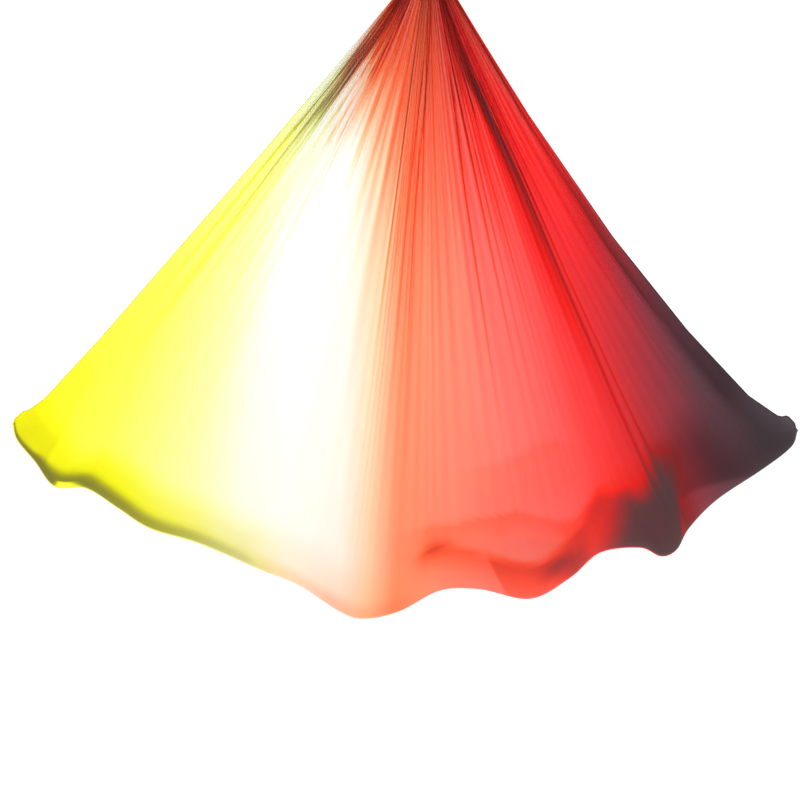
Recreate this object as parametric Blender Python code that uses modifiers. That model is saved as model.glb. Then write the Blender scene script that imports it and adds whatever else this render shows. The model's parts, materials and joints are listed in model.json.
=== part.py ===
"""Aerial yoga hammock: ceiling clevis, ball-bearing swivel, two locking carabiners and the gathered cloth.

Metres, +Z up. The origin is the centre of the ceiling plate's upper face. +X is the hammock's right seen
from the front, and the front layer of the cloth lies towards -Y.
"""

import math

import bmesh
import bpy
from mathutils import Matrix, Vector

# Clearances
SEAT_GAP = 0.0003
RUNNING_GAP = 0.0003
SIDE_GAP = 0.0006
SWEEP_GAP = 0.0005
NECK_GAP = 0.0006

# Ceiling clevis
PLATE_LENGTH = 0.110
PLATE_WIDTH = 0.074
PLATE_THICKNESS = 0.006
PLATE_CORNER = 0.012
SCREW_HOLE_RADIUS = 0.0043
SCREW_SPACING_X = 0.084
SCREW_SPACING_Y = 0.050
EAR_THICKNESS = 0.006
EAR_RADIUS = 0.014
EAR_FOOT_WIDTH = 0.044
PIN_DROP = 0.034
PIN_RADIUS = 0.005
PIN_HEAD_RADIUS = 0.0078
PIN_HEAD_HEIGHT = 0.003
PIN_HEAD_CHAMFER = 0.0006
PIN_TAIL = 0.004
RING_WIRE_RADIUS = 0.0009
RING_MOUTH_DEGREES = 40.0

# Swivel
TONGUE_THICKNESS = 0.012
TONGUE_RADIUS = 0.0135
TONGUE_FOOT_SHARE = 0.62
TONGUE_EDGE = 0.0008
BUSH_WALL = 0.0016
CUP_BELOW_PIN = 0.020
CUP_RADIUS = 0.024
CUP_WALL = 0.004
CUP_ROOF = 0.005
# The crown of the cup, from its flat top to its side: share of the radius, and drop below the top
CUP_CROWN = [(0.6, 0.0), (0.86, 0.0015), (1.0, 0.006)]
AXLE_RADIUS = 0.006
AXLE_END_ROOM = 0.001
AXLE_END_ABOVE_NUT = 0.0015
NUT_HEIGHT = 0.008
HEX_RADIUS = 0.0105
HEX_HEAD_HEIGHT = 0.0075
RACE_THICKNESS = 0.004
BALL_RADIUS = 0.003
BALL_CIRCLE_RADIUS = 0.0118
RACE_RIM = 0.0047
BALL_COUNT = 8
GROOVE_DEPTH = 0.0012
CAP_PLUG_HEIGHT = 0.010
CAP_FLANGE_HEIGHT = 0.004
CAP_FLANGE_TAPER = 0.001
SEAL_WIDTH = 0.0024
SEAL_HEIGHT = 0.003
BOW_RUNNING_GAP = 0.001
BOW_ROD_RADIUS = 0.006
BOW_HALF_WIDTH = 0.032
BOW_BAR_CORNER = 0.008
BOW_SHOULDER = 0.018
BOSS_RADIUS = 0.0125
BOSS_HEIGHT = 0.012
HEAD_ABOVE_BAR = 0.0215

# Carabiners
CARABINER_OFFSET = 0.017
BASKET_RADIUS = 0.030
TOP_RADIUS = 0.020
ARC_CENTRE_SPACING = 0.050
GATE_RADIUS = 0.005
NOSE_STEP = 0.001
NOSE_RADIUS = 0.0044
NOSE_TAPER = 0.0003
NOSE_LENGTH = 0.010
NOSE_SPIGOT_LENGTH = 0.009
TANG_THICKNESS = 0.005
TANG_ROOT_DEPTH = 0.004
TANG_FOOT_FLARE = 0.0002
RIVET_RADIUS = 0.0017
RIVET_PROUD = 0.0003
SPRING_BORE_RADIUS = 0.0032
SPRING_BORE_DEPTH = 0.021
SPRING_BORE_LEAD = 0.002
SPRING_WIRE_RADIUS = 0.00045
SPRING_RADIUS = 0.0022
SPRING_TURNS = 6
PLUNGER_RADIUS = 0.0025
PLUNGER_LENGTH = 0.006
SLEEVE_WALL = 0.0030
SLEEVE_LENGTH = 0.017
SLEEVE_FLUTES = 14
SLEEVE_FLUTE_DEPTH = 0.0006
SLEEVE_BACK_FROM_END = 0.0014

# Cloth ends
KNOT_BELOW_BASKET = 0.035
WRAP_THICKNESS = 0.009
WRAP_CLEARANCE = 0.0005
WRAP_ARC_DEGREES = 35.0
LEG_HALF_WIDTH = 0.0175
CHOKE_HEIGHT = 0.022
CHOKE_THICKNESS = 0.0062
NECK_BELOW_KNOT = 0.020
TAIL_LENGTH = 0.105
TAIL_HALF_WIDTH = 0.026
TAIL_END_THICKNESS = 0.005

# Hammock cloth: the bottom fold from the left tip to the right tip, as distance right of the hanging
# point and drop below the knot
BOTTOM_FOLD = [
    (-1.271, 1.420), (-1.255, 1.470), (-1.200, 1.535), (-1.140, 1.610), (-1.043, 1.616),
    (-0.945, 1.677), (-0.848, 1.738), (-0.698, 1.784), (-0.515, 1.863), (-0.393, 1.912),
    (-0.271, 1.991), (-0.195, 2.012), (-0.088, 1.988), (0.034, 1.926), (0.155, 1.922),
    (0.308, 1.951), (0.430, 1.887), (0.521, 1.811), (0.674, 1.805), (0.756, 1.800),
    (0.793, 1.735), (0.878, 1.649), (1.015, 1.558), (1.104, 1.490), (1.125, 1.440),
]
# How far each selvage hangs inside the straight line to its tip, against the way down to the tip
LEFT_EDGE_HOLLOW = [(0.0, 0.0), (0.4, 0.020), (0.8, 0.030), (0.93, 0.026), (1.0, 0.0)]
RIGHT_EDGE_HOLLOW = [(0.0, 0.0), (0.3, 0.058), (0.55, 0.094), (0.75, 0.094), (0.9, 0.072), (1.0, 0.0)]
HOLLOW_SHARE = 0.35
CLOTH_THICKNESS = 0.002
NECK_HALF_WIDTH = 0.019
SEAT_HALF_DEPTH = 0.180
TIP_HALF_DEPTH = 0.030
SEAT_FOLD_HEIGHT = 0.170
TIP_FOLD_HEIGHT = 0.032
THICK_NECK_SHARE = 0.22
CLOTH_COLUMNS = 28
FRONT_ROWS = [0.0, 0.035, 0.10, 0.22, 0.40, 0.60, 0.82, 1.0]
SEAT_STEPS = 6

# Long soft waves of a hanging layer: depth, waves across the width, where they start, how much later they
# start on the back layer than midway, and how far they drift down the layer
BILLOWS = [(0.011, 3.1, 0.13, 0.21, 0.0), (0.007, 6.7, 0.41, -0.17, 1.3)]
BILLOW_FLATTENING = 1.5
FLAT_BORDER = 0.06

# Sizes that follow from the clearances and from one another
RACE_OUTER_RADIUS = BALL_CIRCLE_RADIUS + RACE_RIM
ROD_RADIUS = GATE_RADIUS + NOSE_STEP
HINGE_FROM_TOP = GATE_RADIUS + SWEEP_GAP

# Heights down the stack, from the ceiling face
PIN_Z = -PIN_DROP
CUP_TOP_Z = PIN_Z - CUP_BELOW_PIN
CAVITY_TOP_Z = CUP_TOP_Z - CUP_ROOF
AXLE_TOP_Z = CAVITY_TOP_Z - AXLE_END_ROOM
NUT_TOP_Z = AXLE_TOP_Z - AXLE_END_ABOVE_NUT
NUT_BOTTOM_Z = NUT_TOP_Z - NUT_HEIGHT
UPPER_RACE_TOP_Z = NUT_BOTTOM_Z - SEAT_GAP
UPPER_RACE_BOTTOM_Z = UPPER_RACE_TOP_Z - RACE_THICKNESS
BALL_STANDOFF = BALL_RADIUS + SEAT_GAP - GROOVE_DEPTH
BALL_Z = UPPER_RACE_BOTTOM_Z - BALL_STANDOFF
LOWER_RACE_TOP_Z = BALL_Z - BALL_STANDOFF
LOWER_RACE_BOTTOM_Z = LOWER_RACE_TOP_Z - RACE_THICKNESS
CAP_TOP_Z = LOWER_RACE_BOTTOM_Z - SEAT_GAP
CUP_RIM_Z = CAP_TOP_Z - CAP_PLUG_HEIGHT
FLANGE_TOP_Z = CUP_RIM_Z - SEAT_GAP
FLANGE_BOTTOM_Z = FLANGE_TOP_Z - CAP_FLANGE_HEIGHT
BOSS_TOP_Z = FLANGE_BOTTOM_Z - BOW_RUNNING_GAP
BOSS_BOTTOM_Z = BOSS_TOP_Z - BOSS_HEIGHT
HEAD_TOP_Z = BOSS_BOTTOM_Z - SEAT_GAP
HEAD_BOTTOM_Z = HEAD_TOP_Z - HEX_HEAD_HEIGHT
BAR_Z = HEAD_BOTTOM_Z - HEAD_ABOVE_BAR
TOP_ARC_Z = BAR_Z + BOW_ROD_RADIUS + SEAT_GAP + ROD_RADIUS - TOP_RADIUS
BASKET_ARC_Z = TOP_ARC_Z - ARC_CENTRE_SPACING
BASKET_Z = BASKET_ARC_Z - BASKET_RADIUS
KNOT_Z = BASKET_Z - KNOT_BELOW_BASKET
NECK_Z = KNOT_Z - NECK_BELOW_KNOT

# Radii and widths that follow from the above
BUSH_INNER_RADIUS = PIN_RADIUS + RUNNING_GAP
BUSH_OUTER_RADIUS = BUSH_INNER_RADIUS + BUSH_WALL
TONGUE_BORE_RADIUS = BUSH_OUTER_RADIUS + SEAT_GAP
EAR_X = TONGUE_THICKNESS / 2 + SIDE_GAP + EAR_THICKNESS / 2
AXLE_BORE_RADIUS = AXLE_RADIUS + RUNNING_GAP
CAVITY_RADIUS = CUP_RADIUS - CUP_WALL

# Colours and finishes: red, green, blue, metallic, roughness
FINISHES = {
    "zinc_plated_steel": (0.62, 0.63, 0.65, 1.0, 0.38),
    "hardened_steel": (0.50, 0.51, 0.53, 1.0, 0.28),
    "black_anodised_aluminium": (0.05, 0.05, 0.055, 1.0, 0.42),
    "polished_aluminium": (0.78, 0.79, 0.80, 1.0, 0.25),
    "bronze": (0.55, 0.36, 0.17, 1.0, 0.40),
    "rubber": (0.03, 0.03, 0.03, 0.0, 0.80),
    "dyed_tricot": (0.95, 0.40, 0.22, 0.0, 0.75),
}

for old in list(bpy.data.objects):
    bpy.data.objects.remove(old, do_unlink=True)

PART = bpy.data.collections.new("aerial_yoga_hammock")
CUTTERS = bpy.data.collections.new("cutters")
bpy.context.scene.collection.children.link(PART)
bpy.context.scene.collection.children.link(CUTTERS)


def finish(name):
    material = bpy.data.materials.new(name)
    red, green, blue, metallic, roughness = FINISHES[name.split(".")[0]]
    material.use_nodes = True
    shader = material.node_tree.nodes["Principled BSDF"]
    shader.inputs["Base Color"].default_value = (red, green, blue, 1.0)
    shader.inputs["Metallic"].default_value = metallic
    shader.inputs["Roughness"].default_value = roughness
    return material


def add_object(name, data, look=None):
    """Links data as a part with its own material, or as a hidden cutter if no look is given."""
    piece = bpy.data.objects.new(name, data)
    if look is None:
        CUTTERS.objects.link(piece)
        piece.hide_render = True
        piece.display_type = "WIRE"
    else:
        PART.objects.link(piece)
        data.materials.append(finish(look))
    return piece


def mesh_from(build):
    mesh = bpy.data.meshes.new("shape")
    shape = bmesh.new()
    build(shape)
    shape.to_mesh(mesh)
    shape.free()
    return mesh


def cylinder(name, radius, start, end, look=None, segments=32, end_radius=None):
    """A cylinder or cone between two points."""
    start, end = Vector(start), Vector(end)
    length = (end - start).length

    def build(shape):
        bmesh.ops.create_cone(
            shape, cap_ends=True, segments=segments, radius1=radius,
            radius2=radius if end_radius is None else end_radius, depth=length,
        )

    piece = add_object(name, mesh_from(build), look)
    piece.matrix_world = frame_along(start, end) @ Matrix.Translation((0, 0, length / 2))
    return piece


def frame_along(start, end):
    """A frame at start with its Z towards end and its Y kept as near world Y as it can be."""
    z = (Vector(end) - Vector(start)).normalized()
    x = Vector((0, 1, 0)).cross(z)
    if x.length < 0.01:
        x = Vector((1, 0, 0))
    x.normalize()
    y = z.cross(x)
    turn = Matrix((x, y, z)).transposed().to_4x4()
    return Matrix.Translation(start) @ turn


def box(name, low, high, look=None):
    low, high = Vector(low), Vector(high)
    mesh = mesh_from(lambda shape: bmesh.ops.create_cube(shape, size=1.0))
    mesh.transform(Matrix.Translation((low + high) / 2) @ Matrix.Diagonal((high - low).to_4d()))
    return add_object(name, mesh, look)


def turned(name, profile, look=None, steps=40, closed=False):
    """Profile points (radius, z) turned about Z, running down the outer side from top to bottom."""
    mesh = bpy.data.meshes.new(name)
    points = [(radius, 0.0, z) for radius, z in profile]
    edges = [(i, i + 1) for i in range(len(points) - 1)]
    if closed:
        edges.append((len(points) - 1, 0))
    mesh.from_pydata(points, edges, [])
    piece = add_object(name, mesh, look)
    screw = piece.modifiers.new("turn", "SCREW")
    screw.steps = screw.render_steps = steps
    screw.use_merge_vertices = True
    screw.merge_threshold = 0.00001
    screw.use_smooth_shade = True
    return piece


def outline(name, splines, thickness, look=None, edge=0.0):
    """Closed outlines in XY, filled and extruded by thickness along Z, the first round the others."""
    curve = bpy.data.curves.new(name, "CURVE")
    curve.dimensions = "2D"
    curve.fill_mode = "BOTH"
    for points in splines:
        spline = curve.splines.new("POLY")
        spline.points.add(len(points) - 1)
        for target, (x, y) in zip(spline.points, points):
            target.co = (x, y, 0, 1)
        spline.use_cyclic_u = True
    curve.bevel_depth = edge
    curve.bevel_resolution = 0
    curve.offset = -edge
    curve.extrude = thickness / 2 - edge
    return add_object(name, curve, look)


def tube(name, points, radius, look=None, resolution=3, cyclic=False):
    curve = bpy.data.curves.new(name, "CURVE")
    curve.dimensions = "3D"
    curve.bevel_depth = radius
    curve.bevel_resolution = resolution
    curve.use_fill_caps = not cyclic
    spline = curve.splines.new("POLY")
    spline.points.add(len(points) - 1)
    for target, point in zip(spline.points, points):
        target.co = (*point, 1)
    spline.use_cyclic_u = cyclic
    return add_object(name, curve, look)


def as_mesh(piece):
    """Replaces a curve object by its mesh, with the caps joined to the sides."""
    bpy.context.view_layer.update()
    evaluated = piece.evaluated_get(bpy.context.evaluated_depsgraph_get())
    mesh = bpy.data.meshes.new_from_object(evaluated)
    shape = bmesh.new()
    shape.from_mesh(mesh)
    bmesh.ops.remove_doubles(shape, verts=shape.verts, dist=0.00001)
    bmesh.ops.recalc_face_normals(shape, faces=shape.faces)
    shape.to_mesh(mesh)
    shape.free()
    name, place, homes = piece.name, piece.matrix_world.copy(), list(piece.users_collection)
    hidden = piece.hide_render
    bpy.data.objects.remove(piece, do_unlink=True)
    made = bpy.data.objects.new(name, mesh)
    for home in homes:
        home.objects.link(made)
    made.matrix_world = place
    made.hide_render = hidden
    made.display_type = "WIRE" if hidden else "TEXTURED"
    return made


def join(piece, other, operation):
    """Adds a Boolean of the other object to the piece."""
    modifier = piece.modifiers.new(operation.lower(), "BOOLEAN")
    modifier.operation = operation
    modifier.solver = "EXACT"
    modifier.object = other
    return piece


def smooth(piece, degrees=35.0):
    piece.data.shade_smooth()
    piece.data.set_sharp_from_angle(angle=math.radians(degrees))
    return piece


def circle(radius, count, centre=(0.0, 0.0), start=0.0):
    step = 2 * math.pi / count
    return [
        (centre[0] + radius * math.cos(start + i * step), centre[1] + radius * math.sin(start + i * step))
        for i in range(count)
    ]


def arc(centre, radius, first, last, steps):
    """Points of an arc, with angles in degrees from +X."""
    angles = [math.radians(first + (last - first) * i / steps) for i in range(steps + 1)]
    return [(centre[0] + radius * math.cos(a), centre[1] + radius * math.sin(a)) for a in angles]


def rounded_rectangle(width, height, corner, steps=5):
    x, y = width / 2 - corner, height / 2 - corner
    return (
        arc((x, y), corner, 0, 90, steps) + arc((-x, y), corner, 90, 180, steps)
        + arc((-x, -y), corner, 180, 270, steps) + arc((x, -y), corner, 270, 360, steps)
    )


def eye_outline(radius, foot_half_width, foot_y):
    """A round eye about the origin whose sides run in straight tangents to a foot above or below."""
    side = math.copysign(1.0, foot_y)
    reach = math.hypot(foot_half_width, foot_y)
    lean = math.degrees(math.atan2(abs(foot_y), foot_half_width) - math.acos(radius / reach))
    if side > 0:
        rounded = arc((0, 0), radius, 180 - lean, 360 + lean, 20)
    else:
        rounded = arc((0, 0), radius, -lean, 180 + lean, 20)
    ends = [(foot_half_width, foot_y), (-foot_half_width, foot_y)]
    return rounded + (ends if side > 0 else ends[::-1])


def upright(piece, x):
    """Stands an outline drawn in XY on edge, so that its X runs along world Y and its Y up."""
    piece.matrix_world = Matrix.Translation((x, 0, PIN_Z)) @ Matrix(
        ((0, 0, 1, 0), (1, 0, 0, 0), (0, 1, 0, 0), (0, 0, 0, 1))
    )
    return piece


def make_ceiling_clevis():
    holes = [
        circle(SCREW_HOLE_RADIUS, 20, (sx * SCREW_SPACING_X / 2, sy * SCREW_SPACING_Y / 2))
        for sx in (-1, 1) for sy in (-1, 1)
    ]
    rim = rounded_rectangle(PLATE_LENGTH, PLATE_WIDTH, PLATE_CORNER)
    plate = outline("ceiling_plate", [rim] + holes, PLATE_THICKNESS, "zinc_plated_steel")
    plate.location.z = -PLATE_THICKNESS / 2
    plate = as_mesh(plate)
    foot = -PLATE_THICKNESS / 2 - PIN_Z
    for side, label in ((-1, "left"), (1, "right")):
        ear = outline(
            f"ear_{label}",
            [eye_outline(EAR_RADIUS, EAR_FOOT_WIDTH / 2, foot), circle(PIN_RADIUS + RUNNING_GAP, 24)],
            EAR_THICKNESS,
        )
        join(plate, as_mesh(upright(ear, side * EAR_X)), "UNION")
    smooth(plate)

    half_length = EAR_X + EAR_THICKNESS / 2
    head_face = -half_length - SEAT_GAP
    pin = cylinder(
        "clevis_pin", PIN_RADIUS, (head_face - PIN_HEAD_HEIGHT / 3, 0, PIN_Z),
        (half_length + PIN_TAIL, 0, PIN_Z), "zinc_plated_steel", 24,
    )
    head = cylinder(
        "pin_head", PIN_HEAD_RADIUS, (head_face, 0, PIN_Z), (head_face - PIN_HEAD_HEIGHT, 0, PIN_Z),
        segments=24, end_radius=PIN_HEAD_RADIUS - PIN_HEAD_CHAMFER,
    )
    join(pin, head, "UNION")
    ring_x = half_length + SEAT_GAP + RING_WIRE_RADIUS
    groove = PIN_RADIUS - RING_WIRE_RADIUS
    groove_cutter = tube(
        "pin_groove_cutter",
        [(ring_x, y, PIN_Z + z) for y, z in circle(PIN_RADIUS, 24)],
        PIN_RADIUS - groove + RUNNING_GAP, resolution=2, cyclic=True,
    )
    join(pin, as_mesh(groove_cutter), "DIFFERENCE")
    smooth(pin)
    round_pin = arc(
        (0, 0), PIN_RADIUS + RUNNING_GAP / 2, RING_MOUTH_DEGREES - 90, 270 - RING_MOUTH_DEGREES, 22
    )
    tube(
        "pin_retaining_ring", [(ring_x, y, PIN_Z + z) for y, z in round_pin],
        RING_WIRE_RADIUS, "hardened_steel", resolution=2,
    )


def make_swivel_top():
    cup = turned(
        "swivel_housing",
        [(0, CUP_TOP_Z)] + [(share * CUP_RADIUS, CUP_TOP_Z - drop) for share, drop in CUP_CROWN]
        + [
            (CUP_RADIUS, CUP_RIM_Z), (CAVITY_RADIUS, CUP_RIM_Z), (CAVITY_RADIUS, CAVITY_TOP_Z),
            (0, CAVITY_TOP_Z),
        ],
        "black_anodised_aluminium",
    )
    tongue = outline(
        "swivel_tongue",
        [eye_outline(TONGUE_RADIUS, TONGUE_FOOT_SHARE * CUP_RADIUS, CUP_TOP_Z - CUP_ROOF / 2 - PIN_Z)],
        TONGUE_THICKNESS, edge=TONGUE_EDGE,
    )
    join(cup, as_mesh(upright(tongue, 0)), "UNION")
    reach = TONGUE_THICKNESS
    bore = cylinder(
        "tongue_bore_cutter", TONGUE_BORE_RADIUS, (-reach, 0, PIN_Z), (reach, 0, PIN_Z), segments=28
    )
    join(cup, bore, "DIFFERENCE")

    bush_half = TONGUE_THICKNESS / 2
    bush = turned(
        "pin_bush",
        [
            (BUSH_OUTER_RADIUS, bush_half), (BUSH_OUTER_RADIUS, -bush_half),
            (BUSH_INNER_RADIUS, -bush_half), (BUSH_INNER_RADIUS, bush_half),
        ],
        "bronze", 28, closed=True,
    )
    bush.matrix_world = Matrix.Translation((0, 0, PIN_Z)) @ Matrix.Rotation(math.pi / 2, 4, "Y")

    plug_radius = CAVITY_RADIUS - SEAT_GAP
    seal_outer = AXLE_BORE_RADIUS + SEAL_WIDTH
    recess_radius = seal_outer + SEAT_GAP
    recess_top = FLANGE_BOTTOM_Z + SEAL_HEIGHT + SEAT_GAP
    turned(
        "bearing_cap",
        [
            (AXLE_BORE_RADIUS, CAP_TOP_Z), (plug_radius, CAP_TOP_Z), (plug_radius, FLANGE_TOP_Z),
            (CUP_RADIUS, FLANGE_TOP_Z), (CUP_RADIUS - CAP_FLANGE_TAPER, FLANGE_BOTTOM_Z),
            (recess_radius, FLANGE_BOTTOM_Z), (recess_radius, recess_top),
            (AXLE_BORE_RADIUS, recess_top),
        ],
        "polished_aluminium", closed=True,
    )
    turned(
        "dust_seal",
        [
            (seal_outer, FLANGE_BOTTOM_Z + SEAL_HEIGHT), (seal_outer, FLANGE_BOTTOM_Z),
            (AXLE_BORE_RADIUS, FLANGE_BOTTOM_Z), (AXLE_BORE_RADIUS, FLANGE_BOTTOM_Z + SEAL_HEIGHT),
        ],
        "rubber", 32, closed=True,
    )
    make_race("lower_race", LOWER_RACE_TOP_Z, LOWER_RACE_BOTTOM_Z)
    for i in range(BALL_COUNT):
        angle = 2 * math.pi * i / BALL_COUNT
        ball = add_object(
            f"ball_{i + 1}",
            mesh_from(lambda shape: bmesh.ops.create_uvsphere(
                shape, u_segments=10, v_segments=7, radius=BALL_RADIUS)),
            "hardened_steel",
        )
        ball.location = (BALL_CIRCLE_RADIUS * math.cos(angle), BALL_CIRCLE_RADIUS * math.sin(angle), BALL_Z)
        smooth(ball, 80)


def make_race(name, groove_side_z, back_z):
    """A washer with the balls' groove in the face at groove_side_z."""
    down = 1 if groove_side_z < back_z else -1
    groove_radius = BALL_RADIUS + SEAT_GAP
    half_angle = math.degrees(math.acos((groove_radius - GROOVE_DEPTH) / groove_radius))
    centre = (BALL_CIRCLE_RADIUS, BALL_Z)
    inner = AXLE_BORE_RADIUS
    if down < 0:
        groove = arc(centre, groove_radius, -90 - half_angle, -90 + half_angle, 4)
        profile = [(inner, groove_side_z)] + groove + [
            (RACE_OUTER_RADIUS, groove_side_z), (RACE_OUTER_RADIUS, back_z), (inner, back_z),
        ]
    else:
        groove = arc(centre, groove_radius, 90 - half_angle, 90 + half_angle, 4)
        profile = [(inner, back_z), (RACE_OUTER_RADIUS, back_z), (RACE_OUTER_RADIUS, groove_side_z)]
        profile += groove + [(inner, groove_side_z)]
    return turned(name, profile, "hardened_steel", 28, closed=True)


def make_swivel_bottom():
    make_race("upper_race", UPPER_RACE_BOTTOM_Z, UPPER_RACE_TOP_Z)
    bolt = cylinder(
        "axle_bolt", AXLE_RADIUS, (0, 0, HEAD_TOP_Z - HEX_HEAD_HEIGHT / 2), (0, 0, AXLE_TOP_Z),
        "hardened_steel", 32,
    )
    head = cylinder("bolt_head", HEX_RADIUS, (0, 0, HEAD_BOTTOM_Z), (0, 0, HEAD_TOP_Z), segments=6)
    join(bolt, head, "UNION")
    smooth(bolt)
    nut = outline(
        "axle_nut", [circle(HEX_RADIUS, 6), circle(AXLE_BORE_RADIUS, 28)], NUT_HEIGHT, "hardened_steel"
    )
    nut.location.z = (NUT_TOP_Z + NUT_BOTTOM_Z) / 2

    boss_z = (BOSS_TOP_Z + BOSS_BOTTOM_Z) / 2
    y, low, high = BOW_HALF_WIDTH, BAR_Z, boss_z
    loop = (
        arc((y - BOW_BAR_CORNER, low + BOW_BAR_CORNER), BOW_BAR_CORNER, -90, 0, 6)
        + arc((y - BOW_SHOULDER, high - BOW_SHOULDER), BOW_SHOULDER, 0, 90, 9)
    )
    loop += [(-a, b) for a, b in reversed(loop)]
    bow = as_mesh(tube(
        "swivel_bow", [(0, a, b) for a, b in loop], BOW_ROD_RADIUS, "polished_aluminium", cyclic=True
    ))
    boss = cylinder("bow_boss", BOSS_RADIUS, (0, 0, BOSS_BOTTOM_Z), (0, 0, BOSS_TOP_Z), segments=32)
    join(bow, boss, "UNION")
    bore = cylinder(
        "bow_bore_cutter", AXLE_BORE_RADIUS, (0, 0, BOSS_BOTTOM_Z - BOSS_HEIGHT),
        (0, 0, BOSS_TOP_Z + BOSS_HEIGHT), segments=32,
    )
    join(bow, bore, "DIFFERENCE")
    smooth(bow)


class GateLine:
    """The straight side of a carabiner, from the top arc to the basket, on the side given as +1 or -1."""

    def __init__(self, side, y):
        self.side, self.y = side, y
        lean = math.asin((BASKET_RADIUS - TOP_RADIUS) / ARC_CENTRE_SPACING)
        self.lean_degrees = math.degrees(lean)
        self.top = (TOP_RADIUS * math.cos(lean), TOP_ARC_Z + TOP_RADIUS * math.sin(lean))
        self.way = (math.sin(lean), -math.cos(lean))
        self.length = ARC_CENTRE_SPACING * math.cos(lean)

    def at(self, distance, across=0.0):
        x = self.top[0] + self.way[0] * distance - self.way[1] * across
        z = self.top[1] + self.way[1] * distance + self.way[0] * across
        return Vector((self.side * x, self.y, z))


def make_carabiner(label, side, y):
    line = GateLine(side, y)
    lean = line.lean_degrees
    nose_tip = line.length - NOSE_LENGTH
    shoulder = nose_tip + NOSE_SPIGOT_LENGTH
    path = [Vector((side * a, y, b)) for a, b in arc((0, TOP_ARC_Z), TOP_RADIUS, lean, 180 - lean, 14)]
    basket = arc((0, BASKET_ARC_Z), BASKET_RADIUS, 180 - lean, 360 + lean, 20)
    path += [Vector((side * a, y, b)) for a, b in basket]
    path.append(line.at(shoulder))
    rod = as_mesh(tube(f"{label}_carabiner", path, ROD_RADIUS, "zinc_plated_steel"))
    smooth(cylinder(
        f"{label}_nose", NOSE_RADIUS, line.at(shoulder - SEAT_GAP), line.at(nose_tip), "hardened_steel", 24,
        end_radius=NOSE_RADIUS - NOSE_TAPER,
    ))
    tang_radius = GATE_RADIUS - RUNNING_GAP
    tang_rim = eye_outline(
        tang_radius, tang_radius + TANG_FOOT_FLARE, HINGE_FROM_TOP + TANG_ROOT_DEPTH
    )
    tang = outline(f"{label}_tang", [tang_rim], TANG_THICKNESS)
    hinge = line.at(HINGE_FROM_TOP)
    up = (line.at(0) - hinge).normalized()
    across = Vector((0, 1, 0)).cross(up)
    turn = Matrix((across, up, across.cross(up))).transposed().to_4x4()
    tang.matrix_world = Matrix.Translation(hinge) @ turn
    join(rod, as_mesh(tang), "UNION")
    bore_radius = RIVET_RADIUS + RUNNING_GAP
    reach = Vector((0, 2 * GATE_RADIUS, 0))
    rivet_bore = cylinder(
        f"{label}_rivet_bore_cutter", bore_radius, hinge - reach, hinge + reach, segments=16
    )
    join(rod, rivet_bore, "DIFFERENCE")
    smooth(rod)

    proud = Vector((0, GATE_RADIUS + RIVET_PROUD, 0))
    smooth(cylinder(f"{label}_gate_pin", RIVET_RADIUS, hinge - proud, hinge + proud, "hardened_steel", 16))
    make_gate(label, line, hinge, nose_tip, rivet_bore)


def make_gate(label, line, hinge, nose_tip, rivet_bore):
    gate_end = nose_tip - SWEEP_GAP
    gate = cylinder(f"{label}_gate", GATE_RADIUS, hinge, line.at(gate_end), "polished_aluminium", 24)
    end = add_object(
        f"{label}_gate_round",
        mesh_from(lambda shape: bmesh.ops.create_uvsphere(
            shape, u_segments=24, v_segments=12, radius=GATE_RADIUS)),
    )
    end.matrix_world = frame_along(hinge, line.at(gate_end))
    join(gate, end, "UNION")
    slot_half = TANG_THICKNESS / 2 + RUNNING_GAP
    slot_bottom = HINGE_FROM_TOP + GATE_RADIUS + SWEEP_GAP
    clear = 2 * GATE_RADIUS
    slot = box(
        f"{label}_slot_cutter", (-clear, -slot_half, -clear), (clear, slot_half, GATE_RADIUS + SWEEP_GAP)
    )
    slot.matrix_world = frame_along(hinge, line.at(gate_end))
    join(gate, slot, "DIFFERENCE")
    bore_bottom = slot_bottom + SPRING_BORE_DEPTH
    spring_bore = cylinder(
        f"{label}_spring_bore_cutter", SPRING_BORE_RADIUS, line.at(slot_bottom - SPRING_BORE_LEAD),
        line.at(bore_bottom), segments=20,
    )
    join(gate, spring_bore, "DIFFERENCE")
    join(gate, rivet_bore, "DIFFERENCE")
    smooth(gate)

    plunger_start = slot_bottom - RUNNING_GAP
    plunger_end = plunger_start + PLUNGER_LENGTH
    smooth(cylinder(
        f"{label}_gate_plunger", PLUNGER_RADIUS, line.at(plunger_start), line.at(plunger_end),
        "hardened_steel", 16,
    ))
    make_gate_spring(label, line, plunger_end + SEAT_GAP, bore_bottom - SEAT_GAP)

    sleeve_end = gate_end - SLEEVE_BACK_FROM_END
    bore = GATE_RADIUS + RUNNING_GAP
    crest = bore + SLEEVE_WALL
    count = 4 * SLEEVE_FLUTES
    rim = []
    for i in range(count):
        angle = 2 * math.pi * i / count
        radius = crest - SLEEVE_FLUTE_DEPTH * (0.5 - 0.5 * math.cos(SLEEVE_FLUTES * angle))
        rim.append((radius * math.cos(angle), radius * math.sin(angle)))
    sleeve = outline(
        f"{label}_sleeve", [rim, circle(bore, 28)], SLEEVE_LENGTH, "black_anodised_aluminium"
    )
    middle = line.at(sleeve_end - SLEEVE_LENGTH / 2)
    sleeve.matrix_world = frame_along(middle, line.at(sleeve_end))


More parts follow.
